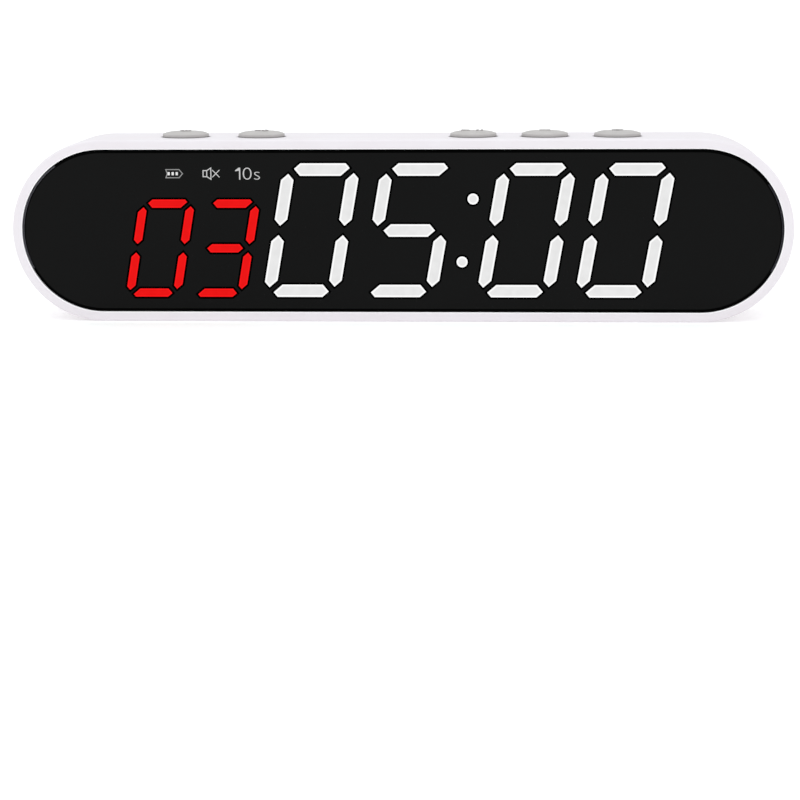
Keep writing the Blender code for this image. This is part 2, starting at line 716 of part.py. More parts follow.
def shade(parts):
    for obj in parts.objects:
        if obj.type == "MESH":
            obj.data.shade_smooth()
            obj.data.set_sharp_from_angle(angle=math.radians(30))


def main():
    clear_scene()
    parts = new_collection("gym_round_timer")
    cutters = new_collection("cutters", helper=True)
    materials = make_materials()
    make_front_housing(parts, cutters, materials)
    make_rear_cover(parts, cutters, materials)
    make_window(parts, cutters, materials)
    make_display(parts, cutters, materials)
    make_board_parts(parts, materials)
    make_buzzer(parts, cutters, materials)
    make_power(parts, cutters, materials)
    make_magnets(parts, materials)
    make_screws(parts, cutters, materials)
    make_buttons(parts, cutters, materials)
    shade(parts)


main()
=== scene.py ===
# %% [markdown]
# # A gym round timer
# This lesson dresses a finished mechanical model. The model already fixes every size and every
# joint; here each visible piece gets a finer skin and a finish that behaves like the real stuff.
# The timer is a white stadium-shaped case with a black window, a lit display and five buttons.

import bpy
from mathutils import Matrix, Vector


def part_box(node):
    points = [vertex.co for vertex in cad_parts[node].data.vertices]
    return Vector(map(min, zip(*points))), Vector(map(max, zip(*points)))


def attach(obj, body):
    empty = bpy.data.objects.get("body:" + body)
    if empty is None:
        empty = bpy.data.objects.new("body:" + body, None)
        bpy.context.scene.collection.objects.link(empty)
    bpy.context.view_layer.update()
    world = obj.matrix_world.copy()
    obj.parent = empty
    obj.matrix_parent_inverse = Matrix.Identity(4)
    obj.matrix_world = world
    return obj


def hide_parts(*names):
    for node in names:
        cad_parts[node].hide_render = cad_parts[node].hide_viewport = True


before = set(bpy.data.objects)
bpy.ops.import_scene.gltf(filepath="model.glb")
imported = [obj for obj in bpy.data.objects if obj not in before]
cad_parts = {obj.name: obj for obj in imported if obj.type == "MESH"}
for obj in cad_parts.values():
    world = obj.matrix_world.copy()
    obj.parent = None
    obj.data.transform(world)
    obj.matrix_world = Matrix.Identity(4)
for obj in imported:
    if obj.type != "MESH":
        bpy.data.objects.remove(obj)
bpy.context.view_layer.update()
print("nodes:", len(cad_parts))

# %% [markdown]
# ## Driving sizes
# Nothing is measured twice. The outer sizes are read from the model's own nodes, and the rest are
# the few widths that a maker would write on the drawing: fillets, gaps and wall thicknesses.
# The window faces -Y, so a depth is counted from the front face towards +Y.

# %% Driving sizes
import math

import bmesh
import bpy
from mathutils import Matrix, Vector

MM = 0.001
case_low, case_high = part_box("front_housing")
cover_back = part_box("rear_cover")[1].y
lens_low, lens_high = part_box("front_lens")
LENGTH = case_high.x - case_low.x
HEIGHT = case_high.z - case_low.z
MID_Z = (case_high.z + case_low.z) / 2
SPINE = (LENGTH - HEIGHT) / 2            # half of the line that both round ends are centred on
CASE_REACH = HEIGHT / 2                  # from that line to the outside of the case
LENS_REACH = (lens_high.z - lens_low.z) / 2
WALL = 2.0 * MM
ARC_STEPS = 48                           # faces in a quarter turn of the case


def at(depth):
    """The y of a depth behind the front face."""
    return case_low.y + depth


SEAM = case_high.y - case_low.y
BACK = cover_back - case_low.y
print(f"case {LENGTH / MM:.1f} x {BACK / MM:.1f} x {HEIGHT / MM:.1f} mm, seam at {SEAM / MM:.1f} mm")

# %% [markdown]
# ## The camera
# The camera stands a little to the right of the timer and looks slightly down on it, from about
# half a metre away with a long lens, so that the case shows its front and a sliver of its top.
# It is placed by two angles and a distance, as the head of a tripod gives them.

# %% Camera
AZIMUTH = math.radians(3.3413)
ELEVATION = math.radians(10.5224)
ROLL = math.radians(-0.3372)
DISTANCE = 0.482654
LENS_MM = 104.923
AIM = Vector((-0.000153, case_low.y, -0.016338))

forward = Vector((
    -math.sin(AZIMUTH) * math.cos(ELEVATION),
    math.cos(AZIMUTH) * math.cos(ELEVATION),
    -math.sin(ELEVATION),
))
turn = forward.to_track_quat("-Z", "Y").to_matrix() @ Matrix.Rotation(ROLL, 3, "Z")
camera_data = bpy.data.cameras.new("camera")
camera_data.lens = LENS_MM
camera_data.sensor_width = 36.0
camera_data.clip_start = 0.01
camera_data.clip_end = 50.0
camera = bpy.data.objects.new("camera", camera_data)
camera.matrix_world = Matrix.Translation(AIM - forward * DISTANCE) @ turn.to_4x4()
bpy.context.scene.collection.objects.link(camera)
bpy.context.scene.camera = camera
print("camera at", [round(c, 4) for c in camera.matrix_world.translation])

# %% [markdown]
# ## Tools for finishes
# Every finish is a Principled shader fed by patterns on Object coordinates. Because each piece
# sits at the origin, those coordinates are metres on the real timer, so a grain of 0.1 mm is a
# noise with a scale of one over 0.0001. Colours are written as on a screen and turned to linear.

# %% Tools for finishes


def linear(hex_colour):
    """An sRGB colour such as #f0ecf0 as the linear RGBA that shaders use."""
    channels = [int(hex_colour[i:i + 2], 16) / 255 for i in (1, 3, 5)]
    bent = [c / 12.92 if c <= 0.04045 else ((c + 0.055) / 1.055) ** 2.4 for c in channels]
    return (*bent, 1.0)


def add_node(tree, kind, inputs=None, **settings):
    """Adds one node. An input is a value, or another node's output to link."""
    made = tree.nodes.new(kind)
    for name, value in settings.items():
        setattr(made, name, value)
    for name, value in (inputs or {}).items():
        if isinstance(value, bpy.types.NodeSocket):
            tree.links.new(value, made.inputs[name])
        else:
            made.inputs[name].default_value = value
    return made


FINISH = {}


def new_finish(name, **sockets):
    """A material with one Principled shader, and what is the same all over it set on its sockets."""
    material = FINISH[name] = bpy.data.materials.new(name)
    material.use_nodes = True
    tree = material.node_tree
    tree.nodes.clear()
    shader = add_node(tree, "ShaderNodeBsdfPrincipled")
    for socket, value in sockets.items():
        shader.inputs[socket.replace("_", " ")].default_value = value
    add_node(tree, "ShaderNodeOutputMaterial", {"Surface": shader.outputs["BSDF"]})
    return tree, shader


def cloudy(tree, size, detail, stretch):
    """Cloud-like noise on the piece, size metres across and stretched along the axes."""
    place = add_node(tree, "ShaderNodeTexCoord").outputs["Object"]
    scaled = add_node(tree, "ShaderNodeMapping", {"Vector": place, "Scale": stretch})
    noise = add_node(tree, "ShaderNodeTexNoise", {
        "Vector": scaled.outputs["Vector"], "Scale": 1 / size, "Detail": detail,
    })
    return noise.outputs["Fac"]


def mottle(tree, size, dark, light, stretch=(1, 1, 1)):
    """Soft patches of two close colours, size metres across. Returns a colour output."""
    ramp = add_node(tree, "ShaderNodeValToRGB", {"Fac": cloudy(tree, size, 3.0, stretch)})
    ramp.color_ramp.elements[0].position = 0.35
    ramp.color_ramp.elements[1].position = 0.65
    ramp.color_ramp.elements[0].color = linear(dark)
    ramp.color_ramp.elements[1].color = linear(light)
    return ramp.outputs["Color"]


def patchy(tree, size, low, high, stretch=(1, 1, 1)):
    """A value that drifts between low and high in patches size metres across."""
    spread = add_node(tree, "ShaderNodeMapRange", {
        "Value": cloudy(tree, size, 4.0, stretch),
        "From Min": 0.3, "From Max": 0.7, "To Min": low, "To Max": high,
    })
    return spread.outputs["Result"]


def grain(tree, size, depth, strength, stretch=(1, 1, 1)):
    """The tiny hills that a mould or a tool leaves, size metres apart. Returns a normal output."""
    bump = add_node(tree, "ShaderNodeBump", {
        "Height": cloudy(tree, size, 2.0, stretch), "Distance": depth, "Strength": strength,
    })
    return bump.outputs["Normal"]


def surface(name, dark, light, size, roughness, grain_size=None, depth=0.0, strength=0.3,
            stretch=(1, 1, 1), **sockets):
    """A whole finish: two-tone colour, drifting roughness, and a grain if it has one."""
    tree, shader = new_finish(name, **sockets)
    tree.links.new(mottle(tree, size, dark, light, stretch), shader.inputs["Base Color"])
    tree.links.new(patchy(tree, size, *roughness, stretch), shader.inputs["Roughness"])
    if grain_size:
        tree.links.new(grain(tree, grain_size, depth, strength, stretch), shader.inputs["Normal"])


# %% [markdown]
# ## Plastics and rubber
# The case is ABS from a spark-eroded mould: its wall has a very fine grain that kills sharp
# highlights, and titanium white pigment with a trace of violet so that it doesn't look yellow.
# The lip round the window is polished in the mould, so it is glossier; its colour is also painted a
# lighter white, a painted highlight for the line of light it catches.
# The window is acrylic painted black from behind, and the caps are grey silicone rubber.

# %% Plastics and rubber
# Grain 0.25 mm, coarser than the 0.05 mm of a real mould texture so that it shows at all.
surface(
    "moulded_white_abs", "#e2dce1", "#e4dfe4", 9 * MM, (0.42, 0.50), 0.25 * MM, 0.004 * MM, 0.25,
    IOR=1.53, Specular_IOR_Level=0.25,
)
# Painted highlight: the lip is a lighter white than the case, standing for the line of light it
# catches.
surface(
    "lip_painted_highlight", "#fbf9fb", "#fdfcfd", 6 * MM, (0.22, 0.28),
    IOR=1.53, Specular_IOR_Level=0.5,
)
# Gloss acrylic: near-black paint seen through a clear sheet, with faint wiping marks in the gloss.
surface(
    "back_painted_acrylic", "#070707", "#090909", 30 * MM, (0.035, 0.075),
    IOR=1.49, Specular_IOR_Level=0.075,
)
# Painted glint for the bevel: a smoky grey colour under clear gloss, standing for a fine line of light
# that the edge catches.
surface(
    "bevel_painted_glint", "#3c3c42", "#434349", 5 * MM, (0.10, 0.16),
    IOR=1.49, Specular_IOR_Level=0.5,
)
# A fainter painted glint for the bevel towards the right end: a dark grey standing for a faint line of
# light on the edge.
surface(
    "bevel_faint_painted_glint", "#242329", "#29282e", 5 * MM, (0.30, 0.40),
    IOR=1.49, Specular_IOR_Level=0.2,
)
# The silicone of the signs on the caps: a little smoother, and painted darker than the cap as painted
# shade that brings out their relief.
surface(
    "sign_painted_shade", "#9b9796", "#a29e9d", 1.5 * MM, (0.40, 0.50),
    IOR=1.41, Specular_IOR_Level=0.25,
)
# The printed border is a matt ink, so it gives back almost nothing.
surface(
    "matt_black_print", "#010101", "#030303", 4 * MM, (0.75, 0.85),
    IOR=1.45, Specular_IOR_Level=0.02,
)
surface(
    "grey_silicone", "#b6b2b1", "#bcb8b7", 2.5 * MM, (0.55, 0.66), 0.12 * MM, 0.006 * MM, 0.35,
    IOR=1.41, Specular_IOR_Level=0.2,
)
surface(
    "moulded_black_abs", "#121213", "#19191a", 3 * MM, (0.5, 0.6), 0.15 * MM, 0.01 * MM, 0.4,
)
surface(
    "black_lcp", "#101011", "#171718", 0.8 * MM, (0.38, 0.48), 0.06 * MM, 0.004 * MM, 0.4,
)
surface(
    "natural_nylon", "#e0dac6", "#e9e4d3", 1.5 * MM, (0.45, 0.55), 0.1 * MM, 0.005 * MM, 0.3,
    Subsurface_Weight=0.15, Subsurface_Scale=0.5 * MM,
)
surface("pvc_red", "#a8191b", "#b82022", 2 * MM, (0.38, 0.48))
surface("pvc_black", "#141414", "#1b1b1b", 2 * MM, (0.38, 0.48))
surface(
    "foam_pad", "#2c2c2d", "#3a3a3b", 0.6 * MM, (0.92, 0.98), 0.25 * MM, 0.08 * MM, 0.9,
)
surface(
    "acrylic_adhesive", "#1d1d1e", "#262627", 1.2 * MM, (0.6, 0.8), 0.3 * MM, 0.02 * MM, 0.5,
)
surface(
    "diffusing_film", "#e6e6e4", "#eeeeec", 4 * MM, (0.5, 0.6), 0.08 * MM, 0.004 * MM, 0.4,
)
print(len(FINISH), "plastics and rubbers")

# %% [markdown]
# Each cap darkens towards its foot, where the rubber meets the case: painted shade that stands for
# the shadow in the gap round the cap. A value that falls with the height above the case dims the plain
# rubber colour.

# %% Painted shade at the foot of a cap
FOOT_RISE = 0.24 * MM
tree = FINISH["grey_silicone"].node_tree
shader = tree.nodes["Principled BSDF"]
unshaded_colour = shader.inputs["Base Color"].links[0].from_socket
place = add_node(tree, "ShaderNodeTexCoord").outputs["Object"]
rise = add_node(tree, "ShaderNodeSeparateXYZ", {"Vector": place}).outputs["Z"]
# Painted shade: the rubber colour darkens over the lowest FOOT_RISE of each cap.
foot = add_node(tree, "ShaderNodeMapRange", {
    "Value": rise, "From Min": HEIGHT, "From Max": HEIGHT + FOOT_RISE, "To Min": 0.45, "To Max": 1.0,
}, interpolation_type="SMOOTHSTEP")
painted_foot_shade = add_node(tree, "ShaderNodeHueSaturation", {"Value": foot.outputs["Result"], "Color": unshaded_colour})
tree.links.new(painted_foot_shade.outputs["Color"], shader.inputs["Base Color"])
print("foot of a cap:", FOOT_RISE / MM, "mm")

# %% [markdown]
# ## Metals and boards
# Metals keep the shader's own IOR and take their look from colour and roughness. Drawn and rolled
# parts are streaked along the way they were worked, so their noise is stretched along one axis.
# The circuit boards are glass cloth under green lacquer, whose weave shows as a fine checker.

# %% Metals and boards
surface(
    "nickel_plated_steel", "#bdbab4", "#cbc8c3", 1.5 * MM, (0.18, 0.30), 0.05 * MM, 0.001 * MM, 0.3,
    (1, 0.1, 1), Metallic=1.0,
)
surface(
    "zinc_plated_steel", "#a9abad", "#babcbe", 0.8 * MM, (0.26, 0.40), 0.08 * MM, 0.002 * MM, 0.4,
    Metallic=1.0,
)
surface(
    "gold_flash", "#d9b46a", "#e3c17c", 0.5 * MM, (0.2, 0.3), Metallic=1.0,
)
surface(
    "sintered_magnet_nickel", "#b4b2ac", "#c2c0ba", 2 * MM, (0.14, 0.24), Metallic=1.0,
)
surface(
    "laminated_foil", "#a5a7aa", "#b3b5b8", 5 * MM, (0.3, 0.42), 1.2 * MM, 0.04 * MM, 0.5,
    Metallic=0.8,
)
surface(
    "moulded_epoxy", "#161617", "#1f1f20", 1 * MM, (0.45, 0.6), 0.07 * MM, 0.005 * MM, 0.5,
)


def lacquered_board():
    """Green solder resist over woven glass: the two directions of the weave are two wave patterns."""
    tree, shader = new_finish("lacquered_board", Coat_Weight=0.3, Coat_Roughness=0.12)
    thread = 0.5 * MM
    place = add_node(tree, "ShaderNodeTexCoord").outputs["Object"]
    waves = [
        add_node(tree, "ShaderNodeTexWave", {"Vector": place, "Scale": 1 / thread / math.tau},
                 bands_direction=direction).outputs["Fac"]
        for direction in ("X", "Z")
    ]
    weave = add_node(tree, "ShaderNodeMath", operation="ADD")
    for socket, wave in zip(weave.inputs, waves):
        tree.links.new(wave, socket)
    ramp = add_node(tree, "ShaderNodeValToRGB", {"Fac": weave.outputs[0]})
    ramp.color_ramp.elements[0].color = linear("#0c4a22")
    ramp.color_ramp.elements[1].color = linear("#14602e")
    tree.links.new(ramp.outputs["Color"], shader.inputs["Base Color"])
    tree.links.new(patchy(tree, 3 * MM, 0.35, 0.5), shader.inputs["Roughness"])
    bump = add_node(tree, "ShaderNodeBump", {
        "Height": weave.outputs[0], "Distance": 0.01 * MM, "Strength": 0.3,
    })
    tree.links.new(bump.outputs["Normal"], shader.inputs["Normal"])


lacquered_board()
print(len(FINISH), "finishes so far")

# %% [markdown]
# ## Lit segments
# A lit bar is a diffusing film in front of an LED. The film is bright at its sharp edge and a
# touch duller in the middle, where it is thickest, and the reflector's wall leaves a deep black
# line round it. Three finishes side by side tell that story: core, edge and surround.

# %% Lit segments


def lit(name, dim, bright):
    """Film lit from behind: its own glow, with the slight mottling of the diffuser."""
    tree, shader = new_finish(
        name, Base_Color=linear("#080808"), Roughness=0.4, Specular_IOR_Level=0.05,
        Emission_Strength=1.0,
    )
    tree.links.new(mottle(tree, 1.5 * MM, dim, bright), shader.inputs["Emission Color"])


lit("film_lit_white", "#e5e5e5", "#eaeaea")
lit("film_edge_white", "#fcfcfc", "#ffffff")
lit("film_lit_red", "#e90505", "#ee0808")
lit("film_edge_red", "#fa080b", "#fd0c10")
lit("film_lit_sign", "#c4c4c4", "#cccccc")
lit("film_dim_sign", "#8c8c8c", "#989898")
surface(
    "reflector_wall", "#000000", "#020202", 1 * MM, (0.8, 0.9), IOR=1.45, Specular_IOR_Level=0.0,
)

# %% [markdown]
# ## Tools for shapes
# Two moves make most of the timer. A turned piece is an open profile spun once about an axis,
# and anything with the case's outline is a profile swept round half-circle ends and straight
# sides. The sweep only needs a quarter: a quarter turn, half a straight side, then two mirrors.

# %% Tools for shapes


def turned(profile, steps=64):
    """A closed solid: a profile of (radius, height) points that starts and ends on the Z axis."""
    bm = bmesh.new()
    verts = [bm.verts.new((radius, 0, height)) for radius, height in profile]
    edges = [bm.edges.new(pair) for pair in zip(verts, verts[1:])]
    bmesh.ops.spin(
        bm, geom=verts + edges, cent=(0, 0, 0), axis=(0, 0, 1), angle=math.tau, steps=steps,
        use_merge=True,
    )
    bmesh.ops.remove_doubles(bm, verts=bm.verts, dist=1e-7)
    bmesh.ops.recalc_face_normals(bm, faces=bm.faces)
    return bm


def swept(profile, spine=SPINE, centre=(0, MID_Z), steps=ARC_STEPS):
    """A closed solid with round ends: (reach, depth) points, where reach is counted from the spine."""
    bm = bmesh.new()
    verts = [bm.verts.new((spine + reach, at(depth), 0)) for reach, depth in profile]
    edges = [bm.edges.new(pair) for pair in zip(verts, verts[1:])]
    quarter = bmesh.ops.spin(
        bm, geom=verts + edges, cent=(spine, 0, 0), axis=(0, 1, 0), angle=-math.pi / 2, steps=steps,
    )
    last = [part for part in quarter["geom_last"] if isinstance(part, bmesh.types.BMEdge)]
    side = bmesh.ops.extrude_edge_only(bm, edges=last)
    moved = [part for part in side["geom"] if isinstance(part, bmesh.types.BMVert)]
    bmesh.ops.translate(bm, vec=(-spine, 0, 0), verts=moved)
    for axis in ("X", "Z"):
        everything = bm.verts[:] + bm.edges[:] + bm.faces[:]
        bmesh.ops.mirror(bm, geom=everything, axis=axis, merge_dist=1e-6)
    bmesh.ops.remove_doubles(bm, verts=bm.verts, dist=1e-7)
    bmesh.ops.edgeloop_fill(bm, edges=[edge for edge in bm.edges if edge.is_boundary])
    bmesh.ops.recalc_face_normals(bm, faces=bm.faces)
    bmesh.ops.translate(bm, vec=(centre[0], 0, centre[1]), verts=bm.verts)
    return bm


def arc(centre, radius, start, end, steps=6):
    """Points of a fillet in a profile, from one angle to another in degrees."""
    angles = [math.radians(start + (end - start) * n / steps) for n in range(steps + 1)]
    return [(centre[0] + radius * math.cos(a), centre[1] + radius * math.sin(a)) for a in angles]


def block(bm, low, high):
    """A box between two corners, added to a bmesh."""
    low, high = Vector(low), Vector(high)
    made = bmesh.ops.create_cube(bm, size=1.0)
    bmesh.ops.scale(bm, vec=high - low, verts=made["verts"])
    bmesh.ops.translate(bm, vec=(low + high) / 2, verts=made["verts"])


def soften(bm, edges, width):
    """Rounds edges over a width, with three faces each."""
    bmesh.ops.bevel(
        bm, geom=edges, offset=width, affect="EDGES", segments=3, profile=0.5, material=-1,
    )


def rod(bm, place, radius, front, back, sides=32):
    """A cylinder along Y between two depths, at place = (x, z)."""
    lie_down = Matrix.Rotation(math.radians(-90), 4, "X")
    move = Matrix.Translation((place[0], at((front + back) / 2), place[1]))
    bmesh.ops.create_cone(
        bm, cap_ends=True, segments=sides, radius1=radius, radius2=radius, depth=back - front,
        matrix=move @ lie_down,
    )


def to_object(name, bm, *finishes):
    """Turns a bmesh into an object at the origin, wearing the named finishes."""
    mesh = bpy.data.meshes.new(name)
    bm.to_mesh(mesh)
    bm.free()
    for finish in finishes:
        mesh.materials.append(FINISH[finish])
    obj = bpy.data.objects.new(name, mesh)
    bpy.context.scene.collection.objects.link(obj)
    return obj


def carve(obj, bm, operation="DIFFERENCE"):
    """Cuts a shape out of a piece, or joins it on with UNION, and leaves a plain mesh behind."""
    cutter = to_object("cutter", bm)
    boolean = obj.modifiers.new("carve", "BOOLEAN")
    boolean.operation = operation
    boolean.solver = "EXACT"
    boolean.object = cutter
    graph = bpy.context.evaluated_depsgraph_get()
    old = obj.data
    result = bpy.data.meshes.new_from_object(obj.evaluated_get(graph))
    obj.modifiers.clear()
    obj.data = result
    bpy.data.meshes.remove(old)
    bpy.data.objects.remove(cutter, do_unlink=True)


def place_piece(obj, body, nodes=(), angle=30):
    """Shades a piece, makes it ride on its body and stand for its nodes, and says how big it is."""
    obj.data.shade_smooth()
    obj.data.set_sharp_from_angle(angle=math.radians(angle))
    flatter = obj.modifiers.new("flat_faces_stay_flat", "WEIGHTED_NORMAL")
    flatter.keep_sharp = True
    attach(obj, body)
    if nodes:
        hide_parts(*nodes)
    print(f"{obj.name}: {len(obj.data.polygons)} faces")


# %% [markdown]
# ## The case
# The housing is one moulding: a rim round the window, a floor that the window is stuck to, and
# the side wall. It could be modelled as a box with bevels, but its section is the same all the
# way round, so a swept profile gives true fillets and even faces. The openings are cut after.

# %% The case
FRONT_FILLET = 0.5 * MM
LIP_FILLET = 0.16 * MM
SEAM_CHAMFER = 0.12 * MM
FLOOR_FRONT = 2.7 * MM
FLOOR_BACK = 4.2 * MM
RECESS_REACH = LENS_REACH + 0.12 * MM    # the gap that lets the window drop in

case_profile = (
    [(RECESS_REACH, FLOOR_FRONT)]
    + arc((RECESS_REACH + LIP_FILLET, LIP_FILLET), LIP_FILLET, 180, 270)
    + arc((CASE_REACH - FRONT_FILLET, FRONT_FILLET), FRONT_FILLET, -90, 0)
    + [(CASE_REACH, SEAM - SEAM_CHAMFER), (CASE_REACH - SEAM_CHAMFER, SEAM)]
    + [(CASE_REACH - WALL, SEAM), (CASE_REACH - WALL, FLOOR_BACK)]
)
bm = swept(case_profile)
for face in bm.faces:
    middle = face.calc_center_median()
    past_spine = max(abs(middle.x) - SPINE, 0)
    reach = math.hypot(past_spine, middle.z - MID_Z)
    near_front = middle.y < at(LIP_FILLET * 1.01)
    # Faces of the lip wear the painted highlight.
    if near_front and reach < RECESS_REACH + LIP_FILLET:
        face.material_index = 1
case_shell = to_object("case_shell", bm, "moulded_white_abs", "lip_painted_highlight")

# %% [markdown]
# The floor behind the window has a long opening for the display. Behind it stand the bosses that
# the board and the rear cover are screwed to, each with a pilot hole for its screw.

# %% Openings and bosses of the case
opening_low, opening_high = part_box("reflector_block")
clear = 0.3 * MM
PAST = 1 * MM                            # how far a cutter runs past the face that it opens
bm = bmesh.new()
block(
    bm, (opening_low.x - clear, at(PAST), opening_low.z - clear),
    (opening_high.x + clear, at(FLOOR_BACK + PAST), opening_high.z + clear),
)
carve(case_shell, bm)


def screw_places(name):
    """Where the four screws of a kind stand, as (x, z)."""
    for number in (1, 2, 3, 4):
        low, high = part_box(f"{name}_{number}")
        yield (low.x + high.x) / 2, (low.z + high.z) / 2


board_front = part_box("main_board")[0].y - case_low.y
BOSSES = (                               # screws, boss radius, pilot radius, pilot start, boss end
    ("cover_screw", 2.6 * MM, 1.3 * MM, 11.0 * MM, 18.4 * MM),
    ("board_screw", 2.2 * MM, 1.15 * MM, 3.4 * MM, board_front - 0.1 * MM),
)
for name, boss_radius, pilot_radius, pilot_start, boss_end in BOSSES:
    bosses = bmesh.new()
    pilots = bmesh.new()
    for place in screw_places(name):
        rod(bosses, place, boss_radius, FLOOR_BACK - clear, boss_end)
        rod(pilots, place, pilot_radius, pilot_start, boss_end + PAST)
    carve(case_shell, bosses, "UNION")
    carve(case_shell, pilots)

# %% [markdown]
# Each button comes up through a round hole whose edge is broken by a small chamfer, so that a
# finger doesn't feel it. The cutter is a turned pin that flares at the surface of the case.

# %% Button holes
BUTTONS = ("power", "sound", "start", "minus", "plus")
HOLE_RADIUS = 5.12 * MM
HOLE_CHAMFER = 0.04 * MM
button_places = {}
for name in BUTTONS:
    low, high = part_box(f"switch_body_{name}")
    button_places[name] = Vector(((low.x + high.x) / 2, (low.y + high.y) / 2, HEIGHT))
for place in button_places.values():
    bm = turned([
        (0, -WALL - PAST), (HOLE_RADIUS, -WALL - PAST), (HOLE_RADIUS, -HOLE_CHAMFER),
        (HOLE_RADIUS + 2 * HOLE_CHAMFER, HOLE_CHAMFER), (0, HOLE_CHAMFER),
    ], 96)
    bmesh.ops.translate(bm, vec=place, verts=bm.verts)
    carve(case_shell, bm)
place_piece(case_shell, "case", ["front_housing"])

# %% [markdown]
# ## The rear cover
# The cover is a plate with a generous round edge. Where it meets the case, both pieces have a
# small chamfer, so the seam reads as a fine V-groove and hides any mismatch of the two mouldings.

# %% The rear cover
PLATE_FRONT = SEAM + 0.1 * MM
REAR_FILLET = 1.6 * MM
cover_profile = (
    [(CASE_REACH - SEAM_CHAMFER, PLATE_FRONT), (CASE_REACH, PLATE_FRONT + SEAM_CHAMFER)]
    + arc((CASE_REACH - REAR_FILLET, BACK - REAR_FILLET), REAR_FILLET, 0, 90, 12)
)
rear_panel = to_object("rear_panel", swept(cover_profile), "moulded_white_abs")

# %% [markdown]
# The cover's openings are cut one kind at a time: a flared slot for the charging plug, a ring of
# small holes in front of the sounder, and four wells that sink the screw heads.

# %% Openings of the rear cover
usb_low, usb_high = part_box("usb_c_shell")
USB_PLACE = ((usb_low.x + usb_high.x) / 2, (usb_low.z + usb_high.z) / 2)
USB_HALF_WIDTH = 4.8 * MM
USB_RADIUS = 1.9 * MM
EDGE_BREAK = 0.2 * MM
slot_profile = [
    (USB_RADIUS, SEAM - PAST), (USB_RADIUS, BACK - EDGE_BREAK),
    (USB_RADIUS + 2 * EDGE_BREAK, BACK + EDGE_BREAK),
]
carve(rear_panel, swept(slot_profile, USB_HALF_WIDTH - USB_RADIUS, USB_PLACE, 16))

buzzer_low, buzzer_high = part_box("buzzer")
sound_middle = Vector(((buzzer_low.x + buzzer_high.x) / 2, (buzzer_low.z + buzzer_high.z) / 2))
SOUND_RING = 2.4 * MM
SOUND_HOLE = 0.6 * MM
sixths = [math.tau * n / 6 for n in range(6)]
ring = [Vector((math.cos(a), math.sin(a))) * SOUND_RING for a in sixths]
bm = bmesh.new()
for place in [sound_middle] + [sound_middle + step for step in ring]:
    rod(bm, place, SOUND_HOLE, SEAM - PAST, BACK + PAST, 24)
carve(rear_panel, bm)

WELL_RADIUS = 2.4 * MM
WELL_DEPTH = BACK - SEAM - 0.12 * MM
SCREW_HOLE = 1.3 * MM
for place in screw_places("cover_screw"):
    bm = bmesh.new()
    rod(bm, place, SCREW_HOLE, SEAM - 2 * PAST, BACK + PAST)
    carve(rear_panel, bm)
    well = turned([
        (0, -PAST), (WELL_RADIUS + 2 * EDGE_BREAK, -PAST),
        (WELL_RADIUS + 2 * EDGE_BREAK, -EDGE_BREAK), (WELL_RADIUS, EDGE_BREAK),
        (WELL_RADIUS, WELL_DEPTH), (0, WELL_DEPTH),
    ])
    bmesh.ops.rotate(well, matrix=Matrix.Rotation(math.radians(90), 3, "X"), verts=well.verts)
    bmesh.ops.translate(well, vec=(place[0], at(BACK), place[1]), verts=well.verts)
    carve(rear_panel, well)
place_piece(rear_panel, "case", ["rear_cover"])

# %% [markdown]
# ## The window
# The window is a sheet of acrylic, cut to the same round-ended outline and bevelled at its edge.
# It is black behind except where the display shows through. A thin printed border runs round it
# and over the bevel, which is why its edge looks blacker than its middle. Round part of the left
# end the bevel has no black print and is painted a smoky grey: a painted glint that stands for a
# fine grey line of light there. At the right end a darker grey paints a fainter glint.

# %% The window
LENS_FRONT = lens_low.y - case_low.y
LENS_BACK = lens_high.y - case_low.y
BEVEL = 0.36 * MM
BORDER = 0.24 * MM
# The two arcs below are where the bevel wears a painted glint instead of the black print.
GLINT_LEFT = (-28, 55)                    # degrees above level, round the left end
FAINT_GLINT_RIGHT = (-30, 35)                   # the same, round the right end
REAR_CHAMFER = 0.1 * MM
lens_profile = [
    (LENS_REACH - BEVEL - BORDER, LENS_FRONT), (LENS_REACH - BEVEL, LENS_FRONT),
    (LENS_REACH, LENS_FRONT + BEVEL), (LENS_REACH, LENS_BACK - REAR_CHAMFER),
    (LENS_REACH - REAR_CHAMFER, LENS_BACK),
]
bm = swept(lens_profile)
for face in bm.faces:
    middle = face.calc_center_median()
    on_bevel = at(LENS_FRONT + BEVEL * 0.2) < middle.y < at(LENS_FRONT + BEVEL)
    bearing = math.degrees(math.atan2(middle.z - MID_Z, abs(middle.x) - SPINE))
    # A bevel face in the left arc gets the painted glint, and one in the right arc gets the fainter
    # painted glint.
    if on_bevel and middle.x < 0 and GLINT_LEFT[0] < bearing < GLINT_LEFT[1]:
        face.material_index = 2
    elif on_bevel and middle.x > 0 and FAINT_GLINT_RIGHT[0] < bearing < FAINT_GLINT_RIGHT[1]:
        face.material_index = 3
    elif len(face.verts) == 4 and middle.y < at(LENS_FRONT + BEVEL):
        face.material_index = 1
window = to_object(
    "window_glass", bm, "back_painted_acrylic", "matt_black_print", "bevel_painted_glint",
    "bevel_faint_painted_glint",
)
place_piece(window, "case", ["front_lens"], 20)

# %% [markdown]
# ## Bars of a digit
# A digit has seven bars in a frame. Every bar end is cut twice at 45 degrees: once along the
# mitre with its neighbour and once across the outer corner. Leaning the digit makes two corners
# sharp and two blunt, so the sharp ones are cut back less. Six points describe any bar.

# %% Bars of a digit
LEAN = math.tan(math.radians(9.85))
WHITE_STYLE = {
    "w": 7.90 * MM, "h": 13.73 * MM, "bar": 2.56 * MM, "sharp": 3.12 * MM, "blunt": 3.42 * MM,
    "gap_flat": 1.18 * MM, "gap_upright": 0.86 * MM, "waist": 0.96 * MM, "middle": 5.26 * MM,
    "rim": 0.36 * MM,
}
RED_STYLE = {
    "w": 5.72 * MM, "h": 10.04 * MM, "bar": 1.69 * MM, "sharp": 2.14 * MM, "blunt": 2.60 * MM,
    "gap_flat": 1.10 * MM, "gap_upright": 0.64 * MM, "waist": 0.90 * MM, "middle": 3.68 * MM,
    "rim": 0.24 * MM,
}


